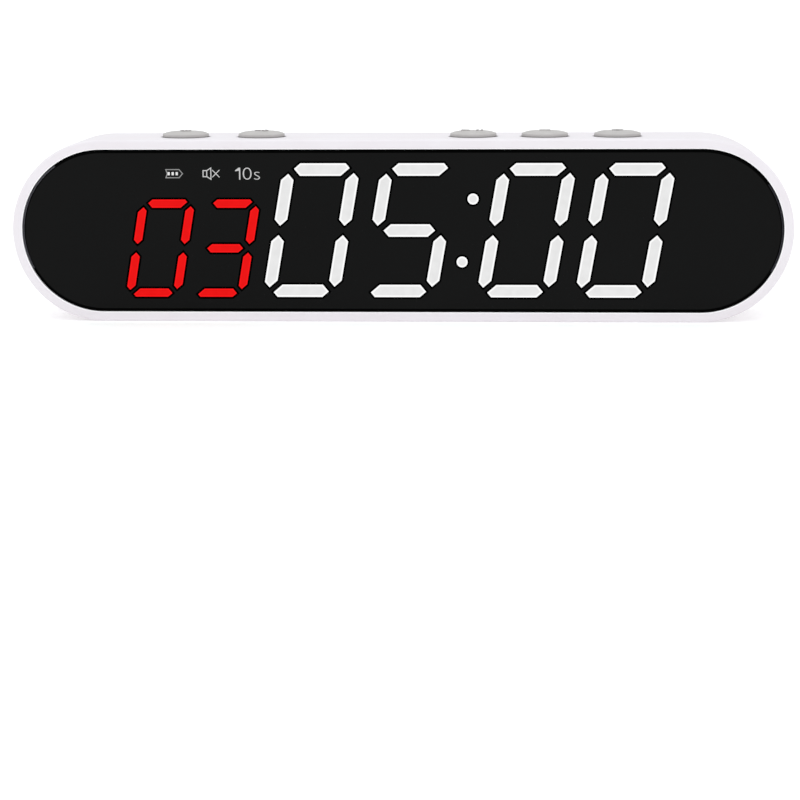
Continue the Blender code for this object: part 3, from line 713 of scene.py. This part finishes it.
def top_bar(s):
    """The flat bar at the top: its left end is at a blunt corner and its right end at a sharp one."""
    ends = []
    for side, cut in ((-1, s["blunt"]), (1, s["sharp"])):
        outer = (side * (s["w"] - cut), s["h"])
        tip = (side * (s["w"] - (cut + s["gap_flat"]) / 2), s["h"] - (cut - s["gap_flat"]) / 2)
        inner = (side * (s["w"] - s["gap_flat"] - s["bar"]), s["h"] - s["bar"])
        ends.append((outer, tip, inner))
    left, right = ends
    return [*reversed(left), *right]


def upper_bar(s, side):
    """An upright bar of the upper half, on the left (-1) or the right (1)."""
    cut = s["sharp"] if side > 0 else s["blunt"]
    outer = (side * s["w"], s["h"] - cut)
    tip = (side * (s["w"] - (cut - s["gap_upright"]) / 2), s["h"] - (cut + s["gap_upright"]) / 2)
    inner = (side * (s["w"] - s["bar"]), s["h"] - s["gap_upright"] - s["bar"])
    foot = s["waist"] + s["bar"] / 2
    return [
        outer, tip, inner, (side * (s["w"] - s["bar"]), foot),
        (side * (s["w"] - s["bar"] / 2), s["waist"]), (side * s["w"], foot),
    ]


def middle_bar(s):
    half = s["bar"] / 2
    right = [(s["middle"] - half, half), (s["middle"], 0), (s["middle"] - half, -half)]
    return right + [(-x, -z) for x, z in right]


def bars(style):
    """All seven bars by the letters that display makers use."""
    a, b, f = top_bar(style), upper_bar(style, 1), upper_bar(style, -1)
    half_turn = {"d": a, "e": b, "c": f}
    made = {name: [(-x, -z) for x, z in outline] for name, outline in half_turn.items()}
    made.update(a=a, b=b, f=f, g=middle_bar(style))
    return made


LIT_BARS = {"0": "abcdef", "3": "abcdg", "5": "acdfg"}
print({name: len(outline) for name, outline in bars(WHITE_STYLE).items()})

# %% [markdown]
# ## Inlays
# The lit shapes are thin inlays in the window, a fiftieth of a millimetre proud of it. Each one
# is a single flat face; an inset inwards makes its bright edge and an inset outwards makes its
# black surround, and one extrusion gives the whole thing its thickness.

# %% Inlays
PROUD = 0.02 * MM
SUNK = 0.15 * MM
SURROUND = 0.40 * MM


def on_window(x, z, slope=0.0):
    """A point at the front of an inlay, about the middle of the case and leant to the right."""
    return Vector((x + z * slope, at(LENS_FRONT - PROUD), MID_Z + z))


def inlay_faces(bm, outline, rim, slope=LEAN):
    """Adds one flat lit shape: core (material 0), bright edge (1) and black surround (2)."""
    corner_verts = [bm.verts.new(on_window(x, z, slope)) for x, z in outline]
    face = bm.faces.new(corner_verts)
    face.normal_update()
    around = bmesh.ops.inset_region(
        bm, faces=[face], thickness=-SURROUND, use_boundary=True, use_even_offset=True,
    )
    for made in around["faces"]:
        made.material_index = 2
    bmesh.ops.delete(bm, geom=[face], context="FACES_ONLY")
    face = bm.faces.new(corner_verts)
    face.normal_update()
    if rim:
        edge = bmesh.ops.inset_region(
            bm, faces=[face], thickness=rim, use_boundary=True, use_even_offset=True,
        )
        for made in edge["faces"]:
            made.material_index = 1


def thicken(bm):
    """Gives flat inlays their thickness, into the window."""
    flat = bm.faces[:]
    grown = bmesh.ops.extrude_face_region(bm, geom=flat)
    back = [part for part in grown["geom"] if isinstance(part, bmesh.types.BMVert)]
    bmesh.ops.translate(bm, vec=(0, PROUD + SUNK, 0), verts=back)
    bmesh.ops.recalc_face_normals(bm, faces=bm.faces)


def make_digit(name, figure, style, x, z, finishes):
    bm = bmesh.new()
    outlines = bars(style)
    for letter in LIT_BARS[figure]:
        inlay_faces(bm, [(x + px, z + pz) for px, pz in outlines[letter]], style["rim"])
    thicken(bm)
    place_piece(to_object(name, bm, *finishes), "case")


WHITE_FILM = ("film_lit_white", "film_edge_white", "reflector_wall")
RED_FILM = ("film_lit_red", "film_edge_red", "reflector_wall")
DISPLAY_Z = 0.16 * MM                    # the display sits a hair above the middle of the case
RED_Z = DISPLAY_Z - WHITE_STYLE["h"] + RED_STYLE["h"]    # both sizes stand on one line
WHITE_DIGITS = (
    ("minutes_tens", "0", -18.14 * MM), ("minutes_units", "5", 1.91 * MM),
    ("seconds_tens", "0", 25.8 * MM), ("seconds_units", "0", 45.89 * MM),
)
RED_DIGITS = (("round_tens", "0", -48.75 * MM), ("round_units", "3", -35.35 * MM))
for name, figure, x in WHITE_DIGITS:
    make_digit(f"digit_{name}", figure, WHITE_STYLE, x, DISPLAY_Z, WHITE_FILM)
for name, figure, x in RED_DIGITS:
    make_digit(f"digit_{name}", figure, RED_STYLE, x, RED_Z, RED_FILM)

# %% [markdown]
# The colon is two round dots on the same lean as the digits.

# %% The colon
COLON_X = 13.85 * MM
COLON_RISE = 6.44 * MM
DOT_RADIUS = 1.12 * MM
bm = bmesh.new()
for side in (-1, 1):
    middle_x = COLON_X + side * COLON_RISE * LEAN
    angles = [math.tau * n / 48 for n in range(48)]
    outline = [
        (middle_x + DOT_RADIUS * math.cos(a), DISPLAY_Z + side * COLON_RISE + DOT_RADIUS * math.sin(a))
        for a in angles
    ]
    inlay_faces(bm, outline, WHITE_STYLE["rim"], 0.0)
thicken(bm)
place_piece(to_object("colon_dots", bm, *WHITE_FILM), "case")

# %% [markdown]
# ## Signs above the round count
# Three small generic signs tell the state: a battery with three charge bars, a loudspeaker with a
# cross for muted, and 10s for the warning time. They are drawn thinner than the digits. A drawn
# line is a closed outline whose inner face is inset and removed.

# %% Battery and loudspeaker signs
SIGN_LINE = 0.20 * MM


def flat_shape(bm, outline, material=0):
    """One flat face on the window, from (x, z) points about the middle of the case."""
    face = bm.faces.new([bm.verts.new(on_window(x, z)) for x, z in outline])
    face.normal_update()
    if face.normal.y > 0:
        face.normal_flip()
    face.material_index = material
    return face


def drawn_line(bm, outline, width, material=0):
    """A closed line of a given width round an outline."""
    face = flat_shape(bm, outline, material)
    bmesh.ops.inset_region(bm, faces=[face], thickness=width, use_boundary=True, use_even_offset=True)
    bmesh.ops.delete(bm, geom=[face], context="FACES_ONLY")


def rectangle(x, z, width, height):
    half_w, half_h = width / 2, height / 2
    left, right, low, high = x - half_w, x + half_w, z - half_h, z + half_h
    return [(left, low), (right, low), (right, high), (left, high)]


SIGN_Z = 11.8 * MM
BATTERY = {
    "left": -48.0 * MM, "right": -44.3 * MM, "half": 0.93 * MM, "point": 0.80 * MM,
    "notch": 0.34 * MM, "first": -47.28 * MM, "step": 0.83 * MM, "blob": (0.46 * MM, 0.64 * MM),
}
bm = bmesh.new()
drawn_line(bm, [
    (BATTERY["left"], SIGN_Z + BATTERY["half"]), (BATTERY["left"] + BATTERY["notch"], SIGN_Z),
    (BATTERY["left"], SIGN_Z - BATTERY["half"]),
    (BATTERY["right"] - BATTERY["point"], SIGN_Z - BATTERY["half"]), (BATTERY["right"], SIGN_Z),
    (BATTERY["right"] - BATTERY["point"], SIGN_Z + BATTERY["half"]),
], SIGN_LINE, 1)
for number in range(3):
    centre = BATTERY["first"] + BATTERY["step"] * number
    flat_shape(bm, rectangle(centre, SIGN_Z, *BATTERY["blob"]))
thicken(bm)
battery_sign = to_object("sign_battery", bm, "film_lit_white", "film_dim_sign")
place_piece(battery_sign, "case")

bm = bmesh.new()
HORN = {
    "left": -40.3 * MM, "neck": -39.45 * MM, "right": -38.5 * MM, "box": 0.72 * MM, "mouth": 1.33 * MM,
}
drawn_line(bm, [
    (HORN["left"], SIGN_Z + HORN["box"]), (HORN["left"], SIGN_Z - HORN["box"]),
    (HORN["neck"], SIGN_Z - HORN["box"]), (HORN["right"], SIGN_Z - HORN["mouth"]),
    (HORN["right"], SIGN_Z + HORN["mouth"]), (HORN["neck"], SIGN_Z + HORN["box"]),
], SIGN_LINE)
flat_shape(bm, rectangle(HORN["neck"], SIGN_Z, SIGN_LINE, 2 * (HORN["box"] - SIGN_LINE)))
CROSS = {"x": -37.58 * MM, "half": 0.74 * MM, "line": 0.18 * MM}
for lean_way in (-1, 1):
    tilt = Matrix.Rotation(math.radians(45 * lean_way), 2)
    level = rectangle(0, 0, 2 * CROSS["half"] * math.sqrt(2), CROSS["line"])
    stroke = [tilt @ Vector(point) for point in level]
    flat_shape(bm, [(CROSS["x"] + p.x, SIGN_Z + p.y) for p in stroke])
thicken(bm)
place_piece(to_object("sign_muted", bm, "film_lit_sign"), "case")

# %% [markdown]
# The 10s is set as real type: a text object is filled and given a depth, made a mesh, stood up
# and moved to its place, so that nothing depends on a live font object.

# %% The 10s sign
THINNER = -0.020                         # of the type's size, taken off each side of a stroke


def type_mesh(text, height, depth):
    """Type as a mesh, standing in the XZ plane with its lower left corner at the origin."""
    curve = bpy.data.curves.new("type", "FONT")
    curve.body = text
    curve.size = 1.0
    curve.resolution_u = 6
    curve.extrude = 0.5
    curve.offset = THINNER
    drawn = bpy.data.objects.new("type", curve)
    bpy.context.scene.collection.objects.link(drawn)
    graph = bpy.context.evaluated_depsgraph_get()
    bm = bmesh.new()
    bm.from_mesh(bpy.data.meshes.new_from_object(drawn.evaluated_get(graph)))
    bpy.data.objects.remove(drawn, do_unlink=True)
    bmesh.ops.remove_doubles(bm, verts=bm.verts, dist=1e-5)
    low = [min(v.co[i] for v in bm.verts) for i in (0, 1)]
    tall = max(v.co.y for v in bm.verts) - low[1]
    bmesh.ops.translate(bm, vec=(-low[0], -low[1], 0), verts=bm.verts)
    bmesh.ops.scale(bm, vec=(height / tall, height / tall, depth), verts=bm.verts)
    bmesh.ops.rotate(bm, matrix=Matrix.Rotation(math.radians(90), 3, "X"), verts=bm.verts)
    bmesh.ops.recalc_face_normals(bm, faces=bm.faces)
    return bm


TYPE_HEIGHT = 2.44 * MM
TYPE_LEFT = -33.60 * MM
ONE = {
    "width": 1.05 * MM, "stem": 0.26 * MM, "flag": 0.62 * MM, "tip": (0.12 * MM, 0.08 * MM),
    "shoulder": 0.3 * MM,
}
REST_LEFT = TYPE_LEFT + 1.55 * MM
REST_WIDTH = 3.52 * MM
bm = type_mesh("0s", TYPE_HEIGHT, PROUD + SUNK)
wide = max(v.co.x for v in bm.verts)
bmesh.ops.scale(bm, vec=(REST_WIDTH / wide, 1, 1), verts=bm.verts)
middle_y = at(LENS_FRONT - PROUD + (PROUD + SUNK) / 2)
bmesh.ops.translate(bm, vec=(REST_LEFT, middle_y, MID_Z + SIGN_Z - TYPE_HEIGHT / 2), verts=bm.verts)
rest_of_type = bpy.data.meshes.new("rest_of_type")
bm.to_mesh(rest_of_type)
bm.free()
stem_right = TYPE_LEFT + ONE["width"]
type_top = SIGN_Z + TYPE_HEIGHT / 2
bm = bmesh.new()
flat_shape(bm, [
    (stem_right, type_top), (stem_right, SIGN_Z - TYPE_HEIGHT / 2),
    (stem_right - ONE["stem"], SIGN_Z - TYPE_HEIGHT / 2),
    (stem_right - ONE["stem"], type_top - ONE["flag"]),
    (TYPE_LEFT, type_top - ONE["flag"] - ONE["tip"][0]),
    (TYPE_LEFT, type_top - ONE["flag"] + ONE["tip"][1]), (stem_right - ONE["shoulder"], type_top),
])
thicken(bm)
bm.from_mesh(rest_of_type)
bpy.data.meshes.remove(rest_of_type)
place_piece(to_object("sign_10s", bm, "film_lit_sign"), "case")

# %% [markdown]
# ## Button caps
# A cap is silicone rubber: a crowned disc with a soft edge and a little draft, a bar beneath that
# keeps it in the case, and a short stem that presses the switch. It is turned, then the bar and
# the stem are joined on, because the real one is moulded in one shot.

# %% Button caps
CAP_RADIUS = 4.80 * MM
CAP_TOP_RADIUS = CAP_RADIUS - 0.05 * MM
CAP_PROUD = 0.75 * MM
CAP_CROWN = 0.41 * MM
CAP_FILLET = 0.28 * MM
CROWN_REACH = CAP_TOP_RADIUS - CAP_FILLET
CROWN_POWER = 5                          # 2 is a dome, and more is a flatter top with a shoulder
CROWN_STEPS = 12
BAR_TOP = -WALL - 0.15 * MM
BAR_HALF = Vector((6.4 * MM, 2.5 * MM))
BAR_THICKNESS = 0.9 * MM
BAR_ROUNDING = 0.2 * MM
SKIRT_TOP = -0.1 * MM
SKIRT_END = BAR_TOP - 0.2 * MM
STEM_START = BAR_TOP - 0.3 * MM          # inside the bar, so that the two join
STEM_RADIUS = 1.6 * MM
STEM_CHAMFER = 0.1 * MM
cap_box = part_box("button_cap_power")
stem_bottom = cap_box[0].z - HEIGHT


def crown_height(reach):
    """Height of the crowned top above the case, at a distance from the axis of the cap."""
    return CAP_PROUD + CAP_CROWN * (1 - (reach / CROWN_REACH) ** CROWN_POWER)


def crowned_head():
    """The disc of a cap about its own axis, with z = 0 at the surface of the case."""
    reaches = [CROWN_REACH * n / CROWN_STEPS for n in range(CROWN_STEPS)]
    crown = [(reach, crown_height(reach)) for reach in reaches]
    edge = arc((CROWN_REACH, CAP_PROUD - CAP_FILLET), CAP_FILLET, 88, 6, 6)
    skirt = [(CAP_RADIUS, SKIRT_TOP), (CAP_RADIUS, SKIRT_END), (0, SKIRT_END)]
    return turned(crown + edge + skirt, 96)


def cap_solid(name):
    head = to_object(name, crowned_head(), "grey_silicone", "sign_painted_shade")
    bm = bmesh.new()
    block(bm, (*-BAR_HALF, BAR_TOP - BAR_THICKNESS), (*BAR_HALF, BAR_TOP))
    soften(bm, bm.edges[:], BAR_ROUNDING)
    carve(head, bm, "UNION")
    stem = turned([
        (0, STEM_START), (STEM_RADIUS, STEM_START), (STEM_RADIUS, stem_bottom + STEM_CHAMFER),
        (STEM_RADIUS - STEM_CHAMFER, stem_bottom), (0, stem_bottom),
    ], 48)
    carve(head, stem, "UNION")
    return head


# %% [markdown]
# The signs on the caps stand a fifth of a millimetre proud and say what each button does: power,
# sound, play and pause, less and more, all of them common to any appliance. They are plates with
# softened top edges, or a small section spun part of the way round for a ring. They are painted a
# little darker than the cap, painted shade that brings out their relief.

# %% Signs on the caps
SIGN_TOP = CAP_PROUD + CAP_CROWN + 0.20 * MM
SHADED_ABOVE = 0.01 * MM                 # what stands this far above the crown is a sign
SIGN_BOTTOM = CAP_PROUD - 0.2 * MM
SOFT_EDGE = 0.09 * MM


def plate(bm, outline):
    """A raised plate on a cap, from the (x, y) points of its outline."""
    face = bm.faces.new([bm.verts.new((x, y, SIGN_BOTTOM)) for x, y in outline])
    grown = bmesh.ops.extrude_face_region(bm, geom=[face])
    top = [part for part in grown["geom"] if isinstance(part, bmesh.types.BMVert)]
    bmesh.ops.translate(bm, vec=(0, 0, SIGN_TOP - SIGN_BOTTOM), verts=top)
    rim = [e for e in bm.edges if all(v in top for v in e.verts)]
    bmesh.ops.recalc_face_normals(bm, faces=bm.faces)
    soften(bm, rim, SOFT_EDGE)


def part_ring(bm, centre, radius, width, start, sweep):
    """Part of a raised ring, from one angle through another, in degrees."""
    first = math.radians(start)
    radial = Vector((math.cos(first), math.sin(first), 0))
    inner, outer = radius - width / 2, radius + width / 2
    section = [(inner, SIGN_BOTTOM), (outer, SIGN_BOTTOM)]
    section += [(outer, SIGN_TOP - SOFT_EDGE), (outer - SOFT_EDGE, SIGN_TOP)]
    section += [(inner + SOFT_EDGE, SIGN_TOP), (inner, SIGN_TOP - SOFT_EDGE)]
    origin = Vector((centre[0], centre[1], 0))
    verts = [bm.verts.new(origin + radial * r + Vector((0, 0, z))) for r, z in section]
    face = bm.faces.new(verts)
    bmesh.ops.spin(
        bm, geom=[face] + face.edges[:] + verts, cent=origin, axis=(0, 0, 1),
        angle=math.radians(sweep), steps=max(6, int(abs(sweep) / 8)),
    )
    bmesh.ops.recalc_face_normals(bm, faces=bm.faces)


def power_sign(bm):
    part_ring(bm, (0, 0), 0.95 * MM, 0.42 * MM, 125, 290)
    plate(bm, rectangle(0, 0.75 * MM, 0.42 * MM, 1.1 * MM))


def sound_sign(bm):
    plate(bm, [
        (-1.35 * MM, -0.45 * MM), (-0.85 * MM, -0.45 * MM), (-0.2 * MM, -1.0 * MM),
        (-0.2 * MM, 1.0 * MM), (-0.85 * MM, 0.45 * MM), (-1.35 * MM, 0.45 * MM),
    ])
    part_ring(bm, (-0.4 * MM, 0), 0.85 * MM, 0.34 * MM, -50, 100)
    part_ring(bm, (-0.4 * MM, 0), 1.70 * MM, 0.34 * MM, -50, 100)


def start_sign(bm):
    plate(bm, [(-2.5 * MM, -1.0 * MM), (-0.7 * MM, 0), (-2.5 * MM, 1.0 * MM)])
    for x in (0.85 * MM, 1.75 * MM):
        plate(bm, rectangle(x, 0, 0.5 * MM, 1.9 * MM))


def minus_sign(bm):
    plate(bm, rectangle(0, 0, 2.3 * MM, 0.6 * MM))


def plus_sign(bm):
    long, thick = 1.15 * MM, 0.3 * MM
    quarter = [(thick, thick), (thick, long), (-thick, long)]
    outline = []
    for turn_count in range(4):
        spun = Matrix.Rotation(math.radians(90 * turn_count), 2)
        outline += [tuple(spun @ Vector(point)) for point in quarter]
    plate(bm, outline)


SIGNS = {
    "power": power_sign, "sound": sound_sign, "start": start_sign,
    "minus": minus_sign, "plus": plus_sign,
}
for name, place in button_places.items():
    cap = cap_solid(f"cap_{name}")
    bm = bmesh.new()
    SIGNS[name](bm)
    carve(cap, bm, "UNION")
    # Faces of the signs take the darker painted shade.
    for face in cap.data.polygons:
        reach = face.center.xy.length
        if reach < CROWN_REACH and face.center.z > crown_height(reach) + SHADED_ABOVE:
            face.material_index = 1
    cap.data.transform(Matrix.Translation(place))
    place_piece(cap, f"{name}_button", [f"button_cap_{name}"])

# %% [markdown]
# ## Cover screws
# Small pan-head screws for plastic hold the cover. The head is turned with a rounded shoulder,
# and its cross recess is cut by two thin blades.

# %% Cover screws
HEAD_RADIUS = 2.1 * MM
HEAD_HEIGHT = 1.2 * MM
HEAD_SHOULDER = 0.45 * MM
HEAD_CHAMFER = 0.05 * MM
SHANK_RADIUS = 1.1 * MM
SHANK_LENGTH = 7.8 * MM
SCREW_TURN = 23                          # degrees from one screw's cross to the next


def pan_head_screw(name):
    """A screw about the Z axis, with the underside of its head at z = 0."""
    profile = (
        [(0, HEAD_HEIGHT)]
        + arc((HEAD_RADIUS - HEAD_SHOULDER, HEAD_HEIGHT - HEAD_SHOULDER), HEAD_SHOULDER, 90, 0, 6)
        + [(HEAD_RADIUS, HEAD_CHAMFER), (HEAD_RADIUS - HEAD_CHAMFER, 0), (SHANK_RADIUS, 0)]
        + [(SHANK_RADIUS, -SHANK_LENGTH + SHANK_RADIUS), (0, -SHANK_LENGTH)]
    )
    screw = to_object(name, turned(profile, 48), "zinc_plated_steel")
    arm, blade, floor = 0.52 * HEAD_RADIUS, 0.14 * HEAD_RADIUS, 0.4 * HEAD_HEIGHT
    for half_x, half_y in ((arm, blade), (blade, arm)):
        bm = bmesh.new()
        block(bm, (-half_x, -half_y, floor), (half_x, half_y, HEAD_HEIGHT + PAST))
        carve(screw, bm)
    return screw


for number, place in enumerate(screw_places("cover_screw"), 1):
    screw = pan_head_screw(f"pan_screw_{number}")
    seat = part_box(f"cover_screw_{number}")[1].y - HEAD_HEIGHT
    turn_back = Matrix.Rotation(math.radians(-90), 4, "X")
    spun = Matrix.Rotation(math.radians(SCREW_TURN * number), 4, "Z")
    screw.data.transform(Matrix.Translation((place[0], seat, place[1])) @ turn_back @ spun)
    place_piece(screw, "case", [f"cover_screw_{number}"])

# %% [markdown]
# ## The charging socket
# The socket's shell is drawn from thin steel, with a rolled lip. Inside it a black tongue carries
# twelve gold contacts on each face, half a millimetre apart, as the USB-C pattern has them.

# %% The charging socket
usb_mouth = usb_high.y - case_low.y
usb_end = usb_low.y - case_low.y
usb_reach = (usb_high.z - usb_low.z) / 2
usb_spine = (usb_high.x - usb_low.x) / 2 - usb_reach
SHEET = 0.3 * MM
SHELL_FLOOR = 0.5 * MM
USB_CHAMFER = 0.1 * MM
shell_profile = (
    [(usb_reach - SHEET, usb_end + SHELL_FLOOR), (usb_reach - SHEET, usb_mouth - SHEET / 2)]
    + arc((usb_reach - SHEET / 2, usb_mouth - SHEET / 2), SHEET / 2, 180, 0, 8)[1:]
    + [(usb_reach, usb_end + USB_CHAMFER), (usb_reach - USB_CHAMFER, usb_end)]
)
bm = swept(shell_profile, usb_spine, USB_PLACE, 12)
place_piece(to_object("usb_shell", bm, "nickel_plated_steel"), "case", ["usb_c_shell"])

tongue_low, tongue_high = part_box("usb_c_tongue")
bm = bmesh.new()
block(bm, tongue_low, tongue_high)
soften(bm, bm.edges[:], USB_CHAMFER)
place_piece(to_object("usb_tongue", bm, "black_lcp"), "case", ["usb_c_tongue"])

CONTACT_PITCH = 0.5 * MM
CONTACT_HALF = 0.13 * MM
CONTACT_PROUD, CONTACT_SUNK = 0.02 * MM, 0.05 * MM
contact_back = tongue_high.y - 4.2 * MM
contact_front = tongue_high.y - 0.5 * MM
bm = bmesh.new()
for number in range(12):
    x = USB_PLACE[0] + (number - 5.5) * CONTACT_PITCH
    for face_z, lift in ((tongue_low.z, -1), (tongue_high.z, 1)):
        z = sorted((face_z + lift * CONTACT_PROUD, face_z - lift * CONTACT_SUNK))
        block(bm, (x - CONTACT_HALF, contact_back, z[0]), (x + CONTACT_HALF, contact_front, z[1]))
place_piece(to_object("usb_contacts", bm, "gold_flash"), "case")

# %% [markdown]
# ## Finishes for the mechanical parts
# The parts inside keep the shapes of the mechanical model. They only need the right stuff, so each
# finish is listed once with the nodes that have it. The outer nodes, which finer pieces stand for,
# get theirs as well.

# %% Finishes for the mechanical parts
DRESSED = {
    "acrylic_adhesive": ["lens_tape"],
    "diffusing_film": ["diffuser_sheet"],
    "lacquered_board": ["main_board", "charge_board"],
    "moulded_epoxy": ["mcu_chip", "led_driver_chip"] + [f"switch_body_{name}" for name in BUTTONS],
    "moulded_black_abs": ["reflector_block", "board_link_header", "buzzer"]
    + [f"switch_plunger_{name}" for name in BUTTONS],
    "laminated_foil": ["battery_cell"],
    "foam_pad": ["battery_pad"],
    "natural_nylon": ["battery_connector"],
    "pvc_red": ["battery_lead_red"],
    "pvc_black": ["battery_lead_black"],
    "sintered_magnet_nickel": ["rear_magnet_left", "rear_magnet_right"],
    "zinc_plated_steel": [f"{kind}_screw_{n}" for kind in ("board", "cover") for n in (1, 2, 3, 4)],
    "moulded_white_abs": ["front_housing", "rear_cover"],
    "back_painted_acrylic": ["front_lens"],
    "nickel_plated_steel": ["usb_c_shell"],
    "black_lcp": ["usb_c_tongue"],
    "grey_silicone": [f"button_cap_{name}" for name in BUTTONS],
}
undressed = set(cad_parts)
for finish, names in DRESSED.items():
    for name in names:
        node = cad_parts[name]
        if not node.material_slots:
            node.data.materials.append(FINISH[finish])
        for slot in node.material_slots:
            slot.material = FINISH[finish]
        undressed.discard(name)
print("finishes in use on nodes:", len(DRESSED), "nodes left out:", sorted(undressed))

# %% [markdown]
# ## Floor and light
# The timer stands on a white opal table that is lit a little from below. White surroundings light
# it evenly from everywhere, as a light tent does: they are brightest near the horizon. One large
# soft lamp overhead makes the top a shade lighter and cooler than the front. The colours are
# shown as they are, without a film-like curve.

# %% Floor and light
bm = bmesh.new()
bmesh.ops.create_grid(bm, x_segments=8, y_segments=8, size=6.0)
floor = to_object("floor", bm)
tree, shader = new_finish(
    "lit_opal_table", Specular_IOR_Level=0.1, Emission_Color=linear("#ffffff"), Emission_Strength=0.36,
)
tree.links.new(mottle(tree, 40 * MM, "#dedede", "#e1e1e1"), shader.inputs["Base Color"])
tree.links.new(patchy(tree, 20 * MM, 0.75, 0.85), shader.inputs["Roughness"])
floor.data.materials.append(FINISH["lit_opal_table"])

world = bpy.data.worlds.new("light_tent")
world.use_nodes = True
tent = world.node_tree
tent.nodes.clear()
way = add_node(tent, "ShaderNodeTexCoord").outputs["Generated"]
rise = add_node(tent, "ShaderNodeSeparateXYZ", {"Vector": way}).outputs["Z"]
cloth = add_node(tent, "ShaderNodeValToRGB", {"Fac": rise})
CLOTH = ((0.05, 1.0), (0.35, 0.84))      # the brightness of the tent at two heights in the sky
for element, (height, brightness) in zip(cloth.color_ramp.elements, CLOTH):
    element.position = height
    element.color = (brightness, brightness, brightness, 1.0)
glow = add_node(tent, "ShaderNodeBackground", {"Color": cloth.outputs["Color"], "Strength": 1.0})
add_node(tent, "ShaderNodeOutputWorld", {"Surface": glow.outputs["Background"]})
bpy.context.scene.world = world

SKY_LAMP = {
    "elevation": 75, "azimuth": -12, "spread": 75, "strength": 1.15, "colour": (0.90, 1.0, 1.0),
}
lamp_data = bpy.data.lights.new("overhead_softbox", "SUN")
lamp_data.energy = SKY_LAMP["strength"]
lamp_data.color = SKY_LAMP["colour"]
lamp_data.angle = math.radians(SKY_LAMP["spread"])
lamp = bpy.data.objects.new("overhead_softbox", lamp_data)
lamp.rotation_euler = (math.radians(90 - SKY_LAMP["elevation"]), 0, math.radians(SKY_LAMP["azimuth"]))
bpy.context.scene.collection.objects.link(lamp)
bpy.context.scene.view_settings.view_transform = "Standard"
bpy.context.scene.view_settings.look = "None"
